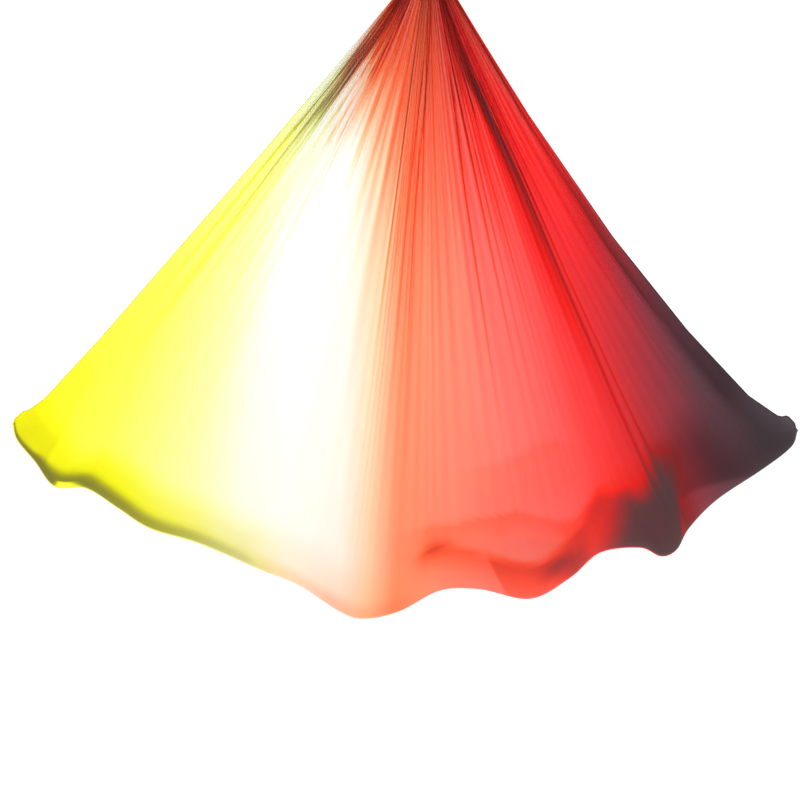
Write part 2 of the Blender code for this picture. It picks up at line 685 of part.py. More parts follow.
def make_gate_spring(label, line, start, end):
    first = start + SPRING_WIRE_RADIUS
    last = end - SPRING_WIRE_RADIUS
    steps = 8 * SPRING_TURNS
    frame = frame_along(line.at(first), line.at(last))
    points = []
    for i in range(steps + 1):
        angle = 2 * math.pi * SPRING_TURNS * i / steps
        round_it = (SPRING_RADIUS * math.cos(angle), SPRING_RADIUS * math.sin(angle))
        points.append(frame @ Vector((*round_it, (last - first) * i / steps)))
    pitch = (last - first) / SPRING_TURNS
    print(f"{label}_gate_spring gap between turns {1000 * (pitch - 2 * SPRING_WIRE_RADIUS):.2f} mm")
    tube(f"{label}_gate_spring", points, SPRING_WIRE_RADIUS, "hardened_steel", resolution=1)


def loft(name, rings, look):
    """A solid through closed rings of equally many points, capped at both ends."""

    def build(shape):
        layers = [[shape.verts.new(point) for point in ring] for ring in rings]
        for low, high in zip(layers, layers[1:]):
            for i in range(len(low)):
                j = (i + 1) % len(low)
                shape.faces.new((low[i], low[j], high[j], high[i]))
        shape.faces.new(layers[0][::-1])
        shape.faces.new(layers[-1])
        bmesh.ops.recalc_face_normals(shape, faces=shape.faces)

    return smooth(add_object(name, mesh_from(build), look), 50)


def strap_section(half_thickness, count=7):
    """A gathered strap's section: share of the half width across, and offset through its thickness."""
    across = [-1 + 2 * i / (count - 1) for i in range(count)]
    heights = [half_thickness * (1 - 0.55 * abs(a) ** 3) for a in across]
    upper = list(zip(across, heights))
    return upper + [(a, -h) for a, h in reversed(upper)]


def make_end_wrap(label, y):
    """The gathered end, from its tail up through the choke and over the basket to the cloth's neck."""
    inside = 1 if y < 0 else -1
    middle = ROD_RADIUS + WRAP_CLEARANCE + WRAP_THICKNESS / 2
    leg_apart = WRAP_THICKNESS / 2 + SEAT_GAP
    spread = math.radians(WRAP_ARC_DEGREES)
    choke_top = KNOT_Z + CHOKE_HEIGHT / 2
    rings = []

    def leg_ring(leg_y, z, half_width, thickness, lift):
        ring = []
        for a, b in strap_section(thickness / 2):
            rise = lift * BASKET_RADIUS * (1 - math.cos(spread * a))
            ring.append((half_width * a, leg_y + inside * b, z + rise))
        return ring

    tail_y = y + inside * leg_apart
    tail_z = NECK_Z - TAIL_LENGTH
    rings.append(leg_ring(tail_y, tail_z, TAIL_HALF_WIDTH, TAIL_END_THICKNESS, 0))
    rings.append(leg_ring(tail_y, (tail_z + NECK_Z) / 2, 0.8 * TAIL_HALF_WIDTH, 0.8 * WRAP_THICKNESS, 0))
    rings.append(leg_ring(tail_y, NECK_Z, LEG_HALF_WIDTH, WRAP_THICKNESS, 0))
    rings.append(leg_ring(tail_y, choke_top, LEG_HALF_WIDTH, WRAP_THICKNESS, 0))
    basket_y = y + inside * middle
    halfway_z = (choke_top + BASKET_Z) / 2
    rings.append(leg_ring((tail_y + basket_y) / 2, halfway_z, LEG_HALF_WIDTH, WRAP_THICKNESS, 0.5))
    steps = 10
    for i in range(steps + 1):
        turn = math.pi / 2 - math.pi * i / steps
        ring = []
        for a, b in strap_section(WRAP_THICKNESS / 2):
            radius = middle + b
            along = spread * a
            reach = BASKET_RADIUS - radius * math.cos(turn)
            ring.append((
                reach * math.sin(along), y + inside * radius * math.sin(turn),
                BASKET_ARC_Z - reach * math.cos(along),
            ))
        rings.append(ring)
    # Down the outer side, the section's inner face turns from the rod towards the tail's leg.
    outer_y, neck_y = y - inside * middle, y - inside * leg_apart
    down = [
        ((outer_y + neck_y) / 2, halfway_z, 0.5),
        (neck_y, choke_top, 0.0),
        (neck_y, NECK_Z + NECK_GAP, 0.0),
    ]
    for leg_y, z, lift in down:
        ring = leg_ring(leg_y, z, LEG_HALF_WIDTH, WRAP_THICKNESS, lift)
        rings.append([(x, 2 * leg_y - ring_y, ring_z) for x, ring_y, ring_z in ring])
    loft(f"{label}_end_wrap", rings, "dyed_tricot")
    make_choke(label, y)


def make_choke(label, y):
    """The turn that draws the gathers tight: a band of two swells round both legs."""
    inner_x = LEG_HALF_WIDTH + SEAT_GAP
    inner_y = WRAP_THICKNESS + 2 * SEAT_GAP
    half_height = CHOKE_HEIGHT / 2
    swells = [
        (0.15, -1.0), (0.75, -0.86), (1.0, -0.5), (0.72, -0.06), (0.98, 0.36), (0.78, 0.80), (0.2, 1.0),
        (0.0, 0.8), (0.0, -0.8),
    ]
    count = 32

    def build(shape):
        sections = []
        for i in range(count):
            angle = 2 * math.pi * i / count
            x, side_y = squared(angle, inner_x, inner_y)
            out = Vector((x / inner_x**2, side_y / inner_y**2)).normalized()
            tilt = 0.10 * half_height * math.sin(angle)
            section = []
            for proud, height in swells:
                offset = proud * CHOKE_THICKNESS
                section.append(shape.verts.new((
                    x + out.x * offset, y + side_y + out.y * offset,
                    KNOT_Z + height * half_height * 0.9 + tilt,
                )))
            sections.append(section)
        for i in range(count):
            here, there = sections[i], sections[(i + 1) % count]
            for j in range(len(swells)):
                k = (j + 1) % len(swells)
                shape.faces.new((here[j], there[j], there[k], here[k]))
        bmesh.ops.recalc_face_normals(shape, faces=shape.faces)

    smooth(add_object(f"{label}_choke", mesh_from(build), "dyed_tricot"), 50)


def squared(angle, half_x, half_y, power=0.42):
    """A point of a rounded oblong that holds the box of the given half sizes."""
    cos, sin = math.cos(angle), math.sin(angle)
    return (
        half_x * 1.04 * math.copysign(abs(cos) ** power, cos),
        half_y * 1.04 * math.copysign(abs(sin) ** power, sin),
    )


def between(points, share):
    """Linear reading of a table of (position, value)."""
    for (a, low), (b, high) in zip(points, points[1:]):
        if share <= b:
            return low + (high - low) * (share - a) / (b - a)
    return points[-1][1]


def smooth_through(points, count, fine=12):
    """count + 1 points equally spaced along a smooth curve through the given points."""
    vectors = [Vector(p) for p in points]
    guide = [2 * vectors[0] - vectors[1]] + vectors + [2 * vectors[-1] - vectors[-2]]
    dense = [vectors[0]]
    for before, here, there, after in zip(guide, guide[1:], guide[2:], guide[3:]):
        for i in range(1, fine + 1):
            t = i / fine
            dense.append(0.5 * (
                2 * here + (there - before) * t + (2 * before - 5 * here + 4 * there - after) * t**2
                + (3 * here - before - 3 * there + after) * t**3
            ))
    lengths = [0.0]
    for here, there in zip(dense, dense[1:]):
        lengths.append(lengths[-1] + (there - here).length)
    spaced, j = [], 0
    for i in range(count + 1):
        wanted = lengths[-1] * i / count
        while j < len(lengths) - 2 and lengths[j + 1] < wanted:
            j += 1
        part = (wanted - lengths[j]) / (lengths[j + 1] - lengths[j])
        spaced.append(dense[j].lerp(dense[j + 1], part))
    return spaced, lengths[-1]


def eased(share):
    """A soft step from 0 to 1."""
    share = min(1.0, max(0.0, share))
    return share * share * (3 - 2 * share)


def cloth_point(share, bottom, down, seat_turn, layer):
    """A point of the cloth on the column at share of the width: down the layer, or round the seat."""
    middle = 1 - abs(2 * share - 1) ** 2.2
    half_depth = TIP_HALF_DEPTH + (SEAT_HALF_DEPTH - TIP_HALF_DEPTH) * middle
    fold_height = TIP_FOLD_HEIGHT + (SEAT_FOLD_HEIGHT - TIP_FOLD_HEIGHT) * middle
    neck = Vector(((2 * share - 1) * NECK_HALF_WIDTH, NECK_Z))
    tip = Vector((bottom.x, KNOT_Z - bottom.y))
    ray = (tip - neck).normalized()
    side_step = Vector((-ray.y, ray.x))
    length = (tip - neck).length - fold_height
    along = length * down + fold_height * math.sin(seat_turn)
    flat = neck + ray * along
    hollow = 0.0
    if share < HOLLOW_SHARE:
        weight = (1 - share / HOLLOW_SHARE) ** 2
        hollow = -between(LEFT_EDGE_HOLLOW, along / (length + fold_height)) * weight
    if share > 1 - HOLLOW_SHARE:
        weight = (1 - (1 - share) / HOLLOW_SHARE) ** 2
        hollow = between(RIGHT_EDGE_HOLLOW, along / (length + fold_height)) * weight
    flat = flat - side_step * hollow
    neck_y = WRAP_THICKNESS / 2 + SEAT_GAP + CARABINER_OFFSET
    if seat_turn > 0:
        return Vector((flat.x, -half_depth * math.cos(seat_turn), flat.y))
    depth = neck_y + (half_depth - neck_y) * down**1.25
    waves = sum(
        height * math.sin(2 * math.pi * (count * share + start + shift * layer) + drift * down)
        for height, count, start, shift, drift in BILLOWS
    )
    ends = eased(share / FLAT_BORDER) * eased((1 - share) / FLAT_BORDER)
    waves *= math.sin(math.pi * min(1.0, down)) ** BILLOW_FLATTENING * ends
    return Vector((flat.x, layer * (depth + waves), flat.y))


def make_hammock_cloth():
    columns, fold_length = smooth_through(BOTTOM_FOLD, CLOTH_COLUMNS)
    rows = [(down, 0.0, -1) for down in FRONT_ROWS]
    rows += [(1.0, math.pi * i / SEAT_STEPS, 0) for i in range(1, SEAT_STEPS)]
    rows += [(down, 0.0, 1) for down in reversed(FRONT_ROWS)]
    mesh = bpy.data.meshes.new("hammock_cloth")
    shape = bmesh.new()
    bmesh.ops.create_grid(shape, x_segments=CLOTH_COLUMNS, y_segments=len(rows) - 1, size=0.5)
    weights = {}
    for vert in shape.verts:
        column = round((vert.co.x + 0.5) * CLOTH_COLUMNS)
        row = round((vert.co.y + 0.5) * (len(rows) - 1))
        down, seat_turn, layer = rows[row]
        vert.co = cloth_point(column / CLOTH_COLUMNS, columns[column], down, seat_turn, layer)
        thin = CLOTH_THICKNESS / WRAP_THICKNESS
        weights[vert.index] = max(thin, 1 - (1 - thin) * down / THICK_NECK_SHARE)
    area = sum(face.calc_area() for face in shape.faces)
    shape.to_mesh(mesh)
    shape.free()
    cloth = add_object("hammock_cloth", mesh, "dyed_tricot")
    group = cloth.vertex_groups.new(name="thickness")
    for index, weight in weights.items():
        group.add([index], weight, "REPLACE")
    wall = cloth.modifiers.new("wall", "SOLIDIFY")
    wall.thickness = WRAP_THICKNESS
    wall.offset = 0.0
    wall.vertex_group = group.name
    smooth(cloth, 60)
    print(f"bottom fold {fold_length:.3f} m, cloth surface {area:.3f} m2")


make_ceiling_clevis()
make_swivel_top()
make_swivel_bottom()
for label, side, y in (("front", 1, -CARABINER_OFFSET), ("back", -1, CARABINER_OFFSET)):
    make_carabiner(label, side, y)
    make_end_wrap(label, y)
make_hammock_cloth()

print(f"pin z {PIN_Z:.4f}, bow bar z {BAR_Z:.4f}, knot z {KNOT_Z:.4f}, neck z {NECK_Z:.4f}")
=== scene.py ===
"""Looks of the aerial yoga hammock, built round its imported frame.

Metres, +Z up; the front layer of cloth lies towards -Y, and the dye runs from yellow at -X to charcoal at +X.
"""
import json
import math

import bmesh
import bpy
import numpy as np
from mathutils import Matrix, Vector


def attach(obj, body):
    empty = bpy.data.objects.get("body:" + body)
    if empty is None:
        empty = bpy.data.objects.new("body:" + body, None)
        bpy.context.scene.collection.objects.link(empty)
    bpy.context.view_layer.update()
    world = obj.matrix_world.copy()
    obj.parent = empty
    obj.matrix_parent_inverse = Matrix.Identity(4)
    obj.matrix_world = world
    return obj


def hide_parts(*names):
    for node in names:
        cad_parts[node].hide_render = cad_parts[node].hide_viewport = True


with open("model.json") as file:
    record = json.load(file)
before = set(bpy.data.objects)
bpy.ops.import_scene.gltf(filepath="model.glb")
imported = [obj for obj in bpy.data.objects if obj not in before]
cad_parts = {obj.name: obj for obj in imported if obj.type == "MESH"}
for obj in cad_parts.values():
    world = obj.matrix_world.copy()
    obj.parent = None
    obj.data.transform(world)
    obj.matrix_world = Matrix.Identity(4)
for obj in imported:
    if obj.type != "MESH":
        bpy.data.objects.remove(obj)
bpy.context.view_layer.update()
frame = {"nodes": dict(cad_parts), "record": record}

TURN = 2 * math.pi

# Sizes of the CAD cloth that its looks are built on
KNOT_Z = -0.2616
NECK_Z = -0.2816
BASKET_ARC_Z = -0.1966
BASKET_Z = -0.2266
BASKET_RADIUS = 0.03
ROD_RADIUS = 0.006
CARABINER_OFFSET = 0.017
WRAP_THICKNESS = 0.009
WRAP_CLEARANCE = 0.0005
WRAP_ARC = math.radians(35)
LEG_HALF_WIDTH = 0.0175
LAYER_GAP = 0.0003
CHOKE_HEIGHT = 0.022
CHOKE_THICKNESS = 0.0062
TAIL_LENGTH = 0.105
TAIL_HALF_WIDTH = 0.026
TAIL_END_THICKNESS = 0.0026
NECK_HALF_WIDTH = 0.019
NECK_Y = CARABINER_OFFSET + WRAP_THICKNESS / 2 + LAYER_GAP
SEAT_HALF_DEPTH = 0.18
TIP_HALF_DEPTH = 0.03
SEAT_FOLD_HEIGHT = 0.17
TIP_FOLD_HEIGHT = 0.032
# Powers of the loop's depth across the width, and of a layer's way out from the neck
SEAT_FULLNESS = 2.2
LAYER_BOW = 1.25
# Hollows of the selvages: how far in they reach (share of the width), and (way down, depth) on each side
HOLLOW_SHARE = 0.35
LEFT_EDGE_HOLLOW = [(0, 0), (0.4, 0.02), (0.8, 0.03), (0.93, 0.026), (1, 0)]
RIGHT_EDGE_HOLLOW = [(0, 0), (0.3, 0.058), (0.55, 0.085), (0.75, 0.081), (0.9, 0.057), (1, 0)]
# The bottom fold from tip to tip: distance right of the hanging point, and drop below the knot
BOTTOM_FOLD = [
    (-1.271, 1.42), (-1.255, 1.47), (-1.2, 1.535), (-1.14, 1.61), (-1.043, 1.616),
    (-0.945, 1.677), (-0.848, 1.738), (-0.698, 1.784), (-0.515, 1.863), (-0.393, 1.912),
    (-0.271, 1.991), (-0.195, 2.012), (-0.088, 1.988), (0.034, 1.926), (0.155, 1.922),
    (0.308, 1.951), (0.43, 1.887), (0.521, 1.811), (0.643, 1.796), (0.707, 1.822), (0.754, 1.802),
    (0.793, 1.735), (0.878, 1.649), (1.015, 1.558), (1.104, 1.49), (1.125, 1.44),
]

# The cut of the cloth
CLOTH_WIDTH = 2.8

# Rows of points down a layer, round the seat and up into the chokes, and seeds of what varies
UPPER_ROWS = 42
LOWER_ROWS = 36
LOWER_FROM = 0.7
ROW_CROWDING = 1.25
SEAT_ROWS = 12
FOLD_ROWS = 44
FOLD_ROOM = 0.5
UPPER_BACK_ROWS = 34
BACK_ROW_CROWDING = 1.35
NECK_ROWS = 3
NECK_IN_CHOKE = 0.013
FRONT_SEED = 11
BACK_SEED = 29

# Pleats across the cloth: where a zone ends (share of the width), the cloth in one pleat, how far down a
# pleat lasts (share of the way to the seat), and how much of its depth is left at the end
PLEAT_ZONES = [
    (0.025, 0.034, 0.8, 0.05), (0.12, 0.034, 0.62, 0.02), (0.2, 0.052, 0.85, 0.06),
    (0.42, 0.085, 0.5, 0.03), (0.5, 0.036, 0.85, 0.06), (0.72, 0.048, 0.75, 0.05),
    (0.79, 0.036, 0.8, 0.06), (0.83, 0.03, 1, 0.12), (0.9, 0.056, 0.6, 0.04),
    (0.975, 0.034, 0.9, 0.08), (1, 0.03, 0.8, 0.05),
]
# How much single pleats differ from their zone, and the widest that the last one may be
PLEAT_WIDTHS = (0.5, 1.65)
PLEAT_LASTS = (0.72, 1.12)
PLEAT_REMAINS = (0.3, 1.8)
WIDEST_LAST_PLEAT = 1.6
PLEAT_COLUMNS = 8
PLEAT_BEND = 0.1
PLEAT_TOP_HEIGHT = 0.008
PLEAT_FULL_HEIGHT = 0.03
PLEAT_FULL_FROM = 0.12
LEAST_SWING = 0.05
WIDEST_SWING = 1.75
SWINGS = 35
# Width of the gathered cloth as a share of the spread cloth's: at the neck, and gained on the way down
NECK_SPREAD = 0.0136
SPREAD_RATE = 0.985
# The most painted shade in a pleat's valley
FOLD_DEPTH_SHADE = 0.44
TINY = 1e-6

# Long waves of a layer: height, waves across, phase, what the layer adds to it, and drift down the cloth
BILLOWS = [(0.011, 3.1, 0.13, 0.21, 0), (0.007, 6.7, 0.41, -0.17, 1.3), (0.004, 12.3, 0.7, 0.3, -2.1)]
BILLOW_EDGE = 0.06

# Painted shade of creases that the gather draws into the cloth, not modelled in the mesh: place (share of the
# width), spread to its left and right, strength, how far down it lasts, and how far its top lies from its
# place
FRONT_CREASE_SHADES = [
    (0.031, 0.01, 0.007, 0.66, 0.72, 0.06), (0.04, 0.008, 0.01, 0.85, 0.42, 0),
    (0.06, 0.05, 0.036, 0.34, 0.8, 0), (0.057, 0.006, 0.008, 0.9, 0.44, 0.01),
    (0.059, 0.01, 0.007, 0.7, 0.7, 0.06), (0.075, 0.007, 0.009, 0.88, 0.52, 0.03),
    (0.087, 0.01, 0.008, 0.7, 0.66, 0.06), (0.078, 0.085, 0.08, 0.76, 0.32, 0.085),
    (0.1, 0.008, 0.016, 0.7, 0.42, 0.03), (0.127, 0.012, 0.008, 0.6, 0.6, 0.1),
    (0.155, 0.01, 0.01, 0.6, 0.52, 0.12), (0.19, 0.01, 0.012, 0.6, 0.36, 0.05),
    (0.222, 0.008, 0.007, 0.62, 0.4, 0.02), (0.24, 0.006, 0.008, 0.62, 0.34, 0.05),
    (0.275, 0.006, 0.01, 0.54, 0.36, 0.03), (0.315, 0.008, 0.008, 0.52, 0.36, 0.03),
    (0.35, 0.012, 0.012, 0.44, 0.26, 0.02), (0.38, 0.006, 0.006, 0.7, 0.4, 0),
    (0.422, 0.01, 0.007, 0.92, 0.68, -0.01), (0.427, 0.003, 0.004, 0.9, 0.34, 0.02),
    (0.459, 0.007, 0.007, 0.82, 0.68, 0.06), (0.48, 0.008, 0.008, 0.88, 0.7, 0.09),
    (0.5, 0.006, 0.007, 0.72, 0.46, 0.01), (0.548, 0.006, 0.01, 0.64, 0.42, 0),
    (0.572, 0.004, 0.006, 0.46, 0.5, 0), (0.604, 0.01, 0.006, 0.7, 0.5, 0),
    (0.629, 0.01, 0.006, 0.88, 0.78, 0.06), (0.65, 0.004, 0.01, 0.52, 0.38, 0),
    (0.669, 0.01, 0.008, 0.88, 0.72, 0), (0.686, 0.004, 0.007, 0.74, 0.8, 0),
    (0.7, 0.008, 0.01, 0.66, 0.56, -0.02), (0.717, 0.01, 0.006, 0.84, 0.72, 0.04),
    (0.738, 0.008, 0.012, 0.82, 0.5, -0.07), (0.755, 0.006, 0.006, 0.58, 0.62, -0.05),
    (0.785, 0.055, 0.036, 0.56, 0.4, -0.07), (0.803, 0.046, 0.034, 0.88, 0.84, -0.13),
    (0.819, 0.012, 0.009, 0.97, 1.24, -0.11), (0.838, 0.008, 0.007, 0.9, 1.16, -0.11),
    (0.807, 0.002, 0.003, 0.76, 0.98, -0.1), (0.868, 0.006, 0.006, 0.48, 0.4, 0),
    (0.898, 0.008, 0.006, 0.46, 0.46, 0), (0.94, 0.005, 0.008, 0.55, 0.44, 0),
    (0.968, 0.022, 0.014, 0.94, 0.72, 0.01),
]
LEAN_ENDS = 0.45
# Fine painted crease shades, from a seed: how many, the ranges of what they have in common with the table
# above, and where they crowd (share of the width, how thickly they lie)
FINE_SHADE_STREAKS = 96
FINE_SPREADS = (0.0012, 0.006)
FINE_STRENGTHS = (0.1, 0.6)
FINE_LASTS = (0.14, 0.62)
FINE_LEANS = (-0.02, 0.02)
CREASE_CROWDS = [
    (0, 1), (0.2, 0.9), (0.26, 0.35), (0.37, 0.5), (0.42, 1), (0.52, 1), (0.6, 0.8), (0.84, 1),
    (0.88, 0.5), (0.92, 0.9), (1, 0.9),
]

# Folds where the back layer hangs over itself: (share of the width, height of the upper edge above the
# lowest line), how far the cloth runs back, its half length, its depth, (start, full, full, end), and the
# painted shade below its edge with how far that reaches
BACK_FOLDS = [
    ([(0.54, 0.35), (0.566, 0.354), (0.636, 0.44), (0.674, 0.438), (0.701, 0.407), (0.726, 0.345),
      (0.76, 0.3)], 0.1, 0.045, 0.013, (0.55, 0.62, 0.7, 0.75), 0.34, 0.16),
    ([(0.46, 0.26), (0.484, 0.252), (0.551, 0.206), (0.6, 0.249), (0.6325, 0.287), (0.66, 0.244),
      (0.684, 0.191), (0.7055, 0.161), (0.73, 0.165), (0.7455, 0.215), (0.78, 0.22)],
     0.095, 0.042, 0.012, (0.46, 0.53, 0.72, 0.77), 0.42, 0.12),
    ([(0.49, 0.15), (0.5225, 0.165), (0.5895, 0.124), (0.6285, 0.133), (0.6905, 0.075), (0.72, 0.04)],
     0.065, 0.03, 0.01, (0.49, 0.54, 0.67, 0.72), 0.5, 0.1),
]
# Painted shade where they press together: shade, place (share of the width) and half width, height and half
# height
PRESSED_SPOTS = [
    (0.8, 0.672, 0.02, 0.074, 0.03), (0.62, 0.694, 0.022, 0.03, 0.05), (0.5, 0.526, 0.018, 0.15, 0.026),
]
# The band of painted shade where the left half's edge turns under, across the width: how dark, and how tall
UNDER_SHADE = [
    (0, 0.62), (0.06, 0.7), (0.11, 0.66), (0.17, 0.55), (0.24, 0.41), (0.32, 0.27), (0.4, 0.19),
    (0.47, 0.14), (0.54, 0.06), (0.58, 0),
]
UNDER_HEIGHT = [(0, 0.2), (0.04, 0.4), (0.09, 1.2), (0.13, 0.95), (0.58, 0.85)]

# Scallops of the selvages at the tips: length, phase, reach up and down, inwards, depth and notch
SCALLOP_LENGTH = 0.054
SCALLOP_PHASE = 0.8
SCALLOP_REACH = 0.07
SCALLOP_INWARDS = 0.035
SCALLOP_DEPTH = 0.012
SCALLOP_NOTCH = 0.006
# The lump above each tip: its height at the left and at the right, place and half length along the selvage
TIP_LUMPS = (0.013, 0.024)
LUMP_PLACE = 0.052
LUMP_LENGTH = 0.026
LUMP_INWARDS = 0.05
# The rolled selvage: its radius, and the even painted shade it carries
HEM_RADIUS = 0.0015
HEM_SHADE = 0.35

# The dye lies along X at DYE_DROP below the knot, from -DYE_REACH to DYE_REACH, and fans out from there
DYE_DROP = 1.6
DYE_REACH = 1.3
LEAST_DROP = 0.02
# How fast it fans: (place on the dye, power of the drop)
DYE_FANNING = [
    (-0.89, 0.56), (-0.7, 0.44), (-0.3, 0.17), (-0.17, 0.28), (0.05, 0.6), (0.32, 1.1), (0.49, 0.95),
    (0.62, 1), (0.88, 0.45), (1, 0.5),
]
# How far right the dye is drawn where the gather lays darker cloth behind it: (way down a layer, metres)
DYE_DRAW = [(0, 0.57), (0.1, 0.37), (0.2, 0.18), (0.3, 0.13), (0.42, 0.07), (0.6, 0.03), (1, 0)]
DYE_DRAW_LENGTH = 1.9
# Bundles of folds side by side: (metres of dye in a radian of their wave, phase), and how far they move the
# dye where it is drawn, and near the knot
BUNDLES = [(0.0105, 0.4), (0.023, 1.9)]
BUNDLE_DRAW = 0.35
BUNDLE_SHIFT = 0.2
BUNDLE_DROP = 0.6
DYE_STOPS = [
    (-1.3, "#f1f034"), (-1, "#eeef70"), (-0.7, "#eef0bb"), (-0.55, "#eef1ea"), (-0.42, "#eff1f2"),
    (-0.26, "#efefec"), (-0.18, "#efd9bd"), (-0.098, "#eea17d"), (0.064, "#ef9f89"), (0.26, "#f19890"),
    (0.43, "#f27d7b"), (0.521, "#f25a5a"), (0.64, "#de4249"), (0.77, "#a64e5c"), (0.9, "#76555f"),
    (1.05, "#54494f"),
]
# What the cloth's colour is multiplied by as painted shade where its layers close up: over its yellow, white,
# warm and charcoal part, with where on the dye each gives way to the next, and the painted shade in the
# deepest folds
SHADE_COLOURS = [
    [(0, "#ffffff"), (0.22, "#fdfdb4"), (0.42, "#f4f23c"), (0.62, "#cac83e"), (0.8, "#98983a"),
     (1, "#74733a")],
    [(0, "#ffffff"), (0.3, "#f8f6d8"), (0.5, "#e8e69c"), (0.7, "#c2c17a"), (0.85, "#a19f74"),
     (1, "#7d7a66")],
    [(0, "#ffffff"), (0.25, "#fff0e4"), (0.45, "#ffc2a2"), (0.62, "#fb8a68"), (0.78, "#ea5a42"),
     (1, "#b8463a")],
    [(0, "#ffffff"), (0.5, "#b3a6ac"), (1, "#5c5458")],
]
SHADE_CHANGES = [(-0.9, -0.6), (-0.5, -0.3), (0.64, 0.85)]
WARM_SHADE, COOL_SHADE = "#575458", "#6b683f"

# The gathered ends: a strap's folds and their depth, and the frills of its tail (width, thickness, wave)
END_FOLDS = 30
END_FOLD_DEPTH = 0.3
TAIL_FRILLS = [(1, 1, 0.0034), (0.97, 1.05, 0.003), (0.86, 1.5, 0.0022), (0.8, 2.6, 0.001)]
STRAP_MAP_WIDTH = 0.1
BASKET_RINGS = 13
CHOKE_FOLDS = 4.5
CHOKE_SIDES = 60
CHOKE_STEPS = 132
CHOKE_ROUNDNESS = 0.42
CHOKE_CLEARANCE = 1.04

# How copies of the hardware's solids are finished
MERGE_DISTANCE = 1e-5
FLAT_ANGLE = math.radians(1)
SHARP_ANGLE = math.radians(32)
EASED_EDGE = 0.0003
EASED_SEGMENTS = 2
ROUND_RODS = ["front_carabiner", "back_carabiner", "swivel_bow", "pin_retaining_ring"]
ROD_END_ANGLE = math.radians(65)
ROD_FACET_ANGLE = math.radians(50)
ROD_SKEW = math.radians(60)
ROD_LEVELS = 2
BALLS = [f"ball_{i}" for i in range(1, 9)]
GATE_INSIDES = [f"{label}_gate_{piece}" for label in ("front", "back") for piece in ("plunger", "spring")]
# Inside the bearing and the gates, where only their finish matters
SHUT_IN = ["axle_nut", "lower_race", "upper_race", *BALLS, *GATE_INSIDES]

# The pale floor, far enough below for the lowest fold to hang clear of it
FLOOR_Z = -2.95
FLOOR_HALF = 40.0
# Rectangular lamps: name, place, what it points at, size and power
LAMPS = [
    ("back_softbox", (0, 3.2, -1.3), (0, 0, -1.3), (6, 4), 120),
    ("knot_softbox", (0, 1, -0.3), (0, 0, -0.45), (0.9, 0.5), 18),
    ("overhead_softbox", (-0.5, -1, 2.6), (0, 0, -1.5), (5, 5), 60),
]
STUDIO_STRENGTH = 1.08
CAMERA_DISTANCE = 6
PICTURE_WIDTH = 2.44
PICTURE_MIDDLE = (-0.088, -1.607)


def linear(hex_colour):
    """A linear colour from sRGB hex."""
    parts = [int(hex_colour[i:i + 2], 16) / 255 for i in (1, 3, 5)]
    return [c / 12.92 if c <= 0.04045 else ((c + 0.055) / 1.055) ** 2.4 for c in parts] + [1.0]


def add(tree, kind, links=(), **settings):
    """Adds a shader node: settings name its properties or inputs, and links are (input, socket or node)."""
    node = tree.nodes.new(f"ShaderNode{kind}")
    for key, value in settings.items():
        if hasattr(node, key):
            setattr(node, key, value)
        else:
            node.inputs[key.replace("_", " ")].default_value = value
    for key, source in links:
        # A node stands for its first output.
        socket = source.outputs[0] if isinstance(source, bpy.types.Node) else source
        tree.links.new(node.inputs[key], socket)
    return node


def new_material(name):
    """An empty node material, and its tree."""
    material = bpy.data.materials.new(name)
    material.use_nodes = True
    material.node_tree.nodes.clear()
    return material, material.node_tree


def show(name, data):
    """An object with this data, in the scene."""
    shown = bpy.data.objects.new(name, data)
    bpy.context.scene.collection.objects.link(shown)
    return shown


def reading(table, at):
    """Linear reading of a table of (position, value)."""
    return np.interp(at, [p for p, _ in table], [v for _, v in table])


def grow(low, high, at):
    """From 0 at low to 1 at high."""
    t = np.clip((at - low) / (high - low), 0, 1)
    return t * t * (3 - 2 * t)


def fade(low, high, at):
    """From 1 at low to 0 at high."""
    return 1 - grow(low, high, at)


def between(start, full, full_end, end, at):
    """From 0 at start to 1 at full, and from full_end back to 0 at end."""
    return grow(start, full, at) * fade(full_end, end, at)


def together(shades):
    """What shades from 0 to 1 come to where they lie over one another."""
    return 1 - np.prod([1 - shade for shade in shades], axis=0)


def smoothed(points, fine):
    """Points with fine - 1 more between each two, on smooth curves through them."""
    points = np.array(points)
    guide = np.concatenate([2 * points[:1] - points[1:2], points, 2 * points[-1:] - points[-2:-1]])
    dense = [points[0]]
    for before, here, there, after in zip(guide, guide[1:], guide[2:], guide[3:]):
        for i in range(1, fine + 1):
            t = i / fine
            dense.append(0.5 * (
                2 * here + (there - before) * t + (2 * before - 5 * here + 4 * there - after) * t**2
                + (3 * here - before - 3 * there + after) * t**3
            ))
    return np.array(dense)


def lengths_along(line):
    """How far along a line of points each of them lies."""
    return np.concatenate([[0], np.cumsum(np.linalg.norm(np.diff(line, axis=0), axis=1))])


def fold_line(fine=12, count=1400):
    """The bottom fold as a smooth curve, read at equal steps of its length."""
    dense = smoothed(BOTTOM_FOLD, fine)
    along = lengths_along(dense)
    at = np.linspace(0, along[-1], count)
    return np.stack([np.interp(at, along, dense[:, k]) for k in (0, 1)], axis=1)


FOLD_LINE = fold_line()
FOLD_SHARES = np.linspace(0, 1, len(FOLD_LINE))


def column_sizes(share):
    """By share of the width: the neck's point, the ray, its straight length, half depth and fold height."""
    share = np.clip(share, 0, 1)
    right, drop = [np.interp(share, FOLD_SHARES, FOLD_LINE[:, k]) for k in (0, 1)]
    tip = np.stack([right, KNOT_Z - drop], axis=-1)
    middle = 1 - np.abs(2 * share - 1) ** SEAT_FULLNESS
    half_depth = TIP_HALF_DEPTH + (SEAT_HALF_DEPTH - TIP_HALF_DEPTH) * middle
    fold_height = TIP_FOLD_HEIGHT + (SEAT_FOLD_HEIGHT - TIP_FOLD_HEIGHT) * middle
    neck = np.stack([(2 * share - 1) * NECK_HALF_WIDTH, np.full_like(share, NECK_Z)], axis=-1)
    way = tip - neck
    reach = np.linalg.norm(way, axis=-1)
    return neck, way / reach[..., None], reach - fold_height, half_depth, fold_height


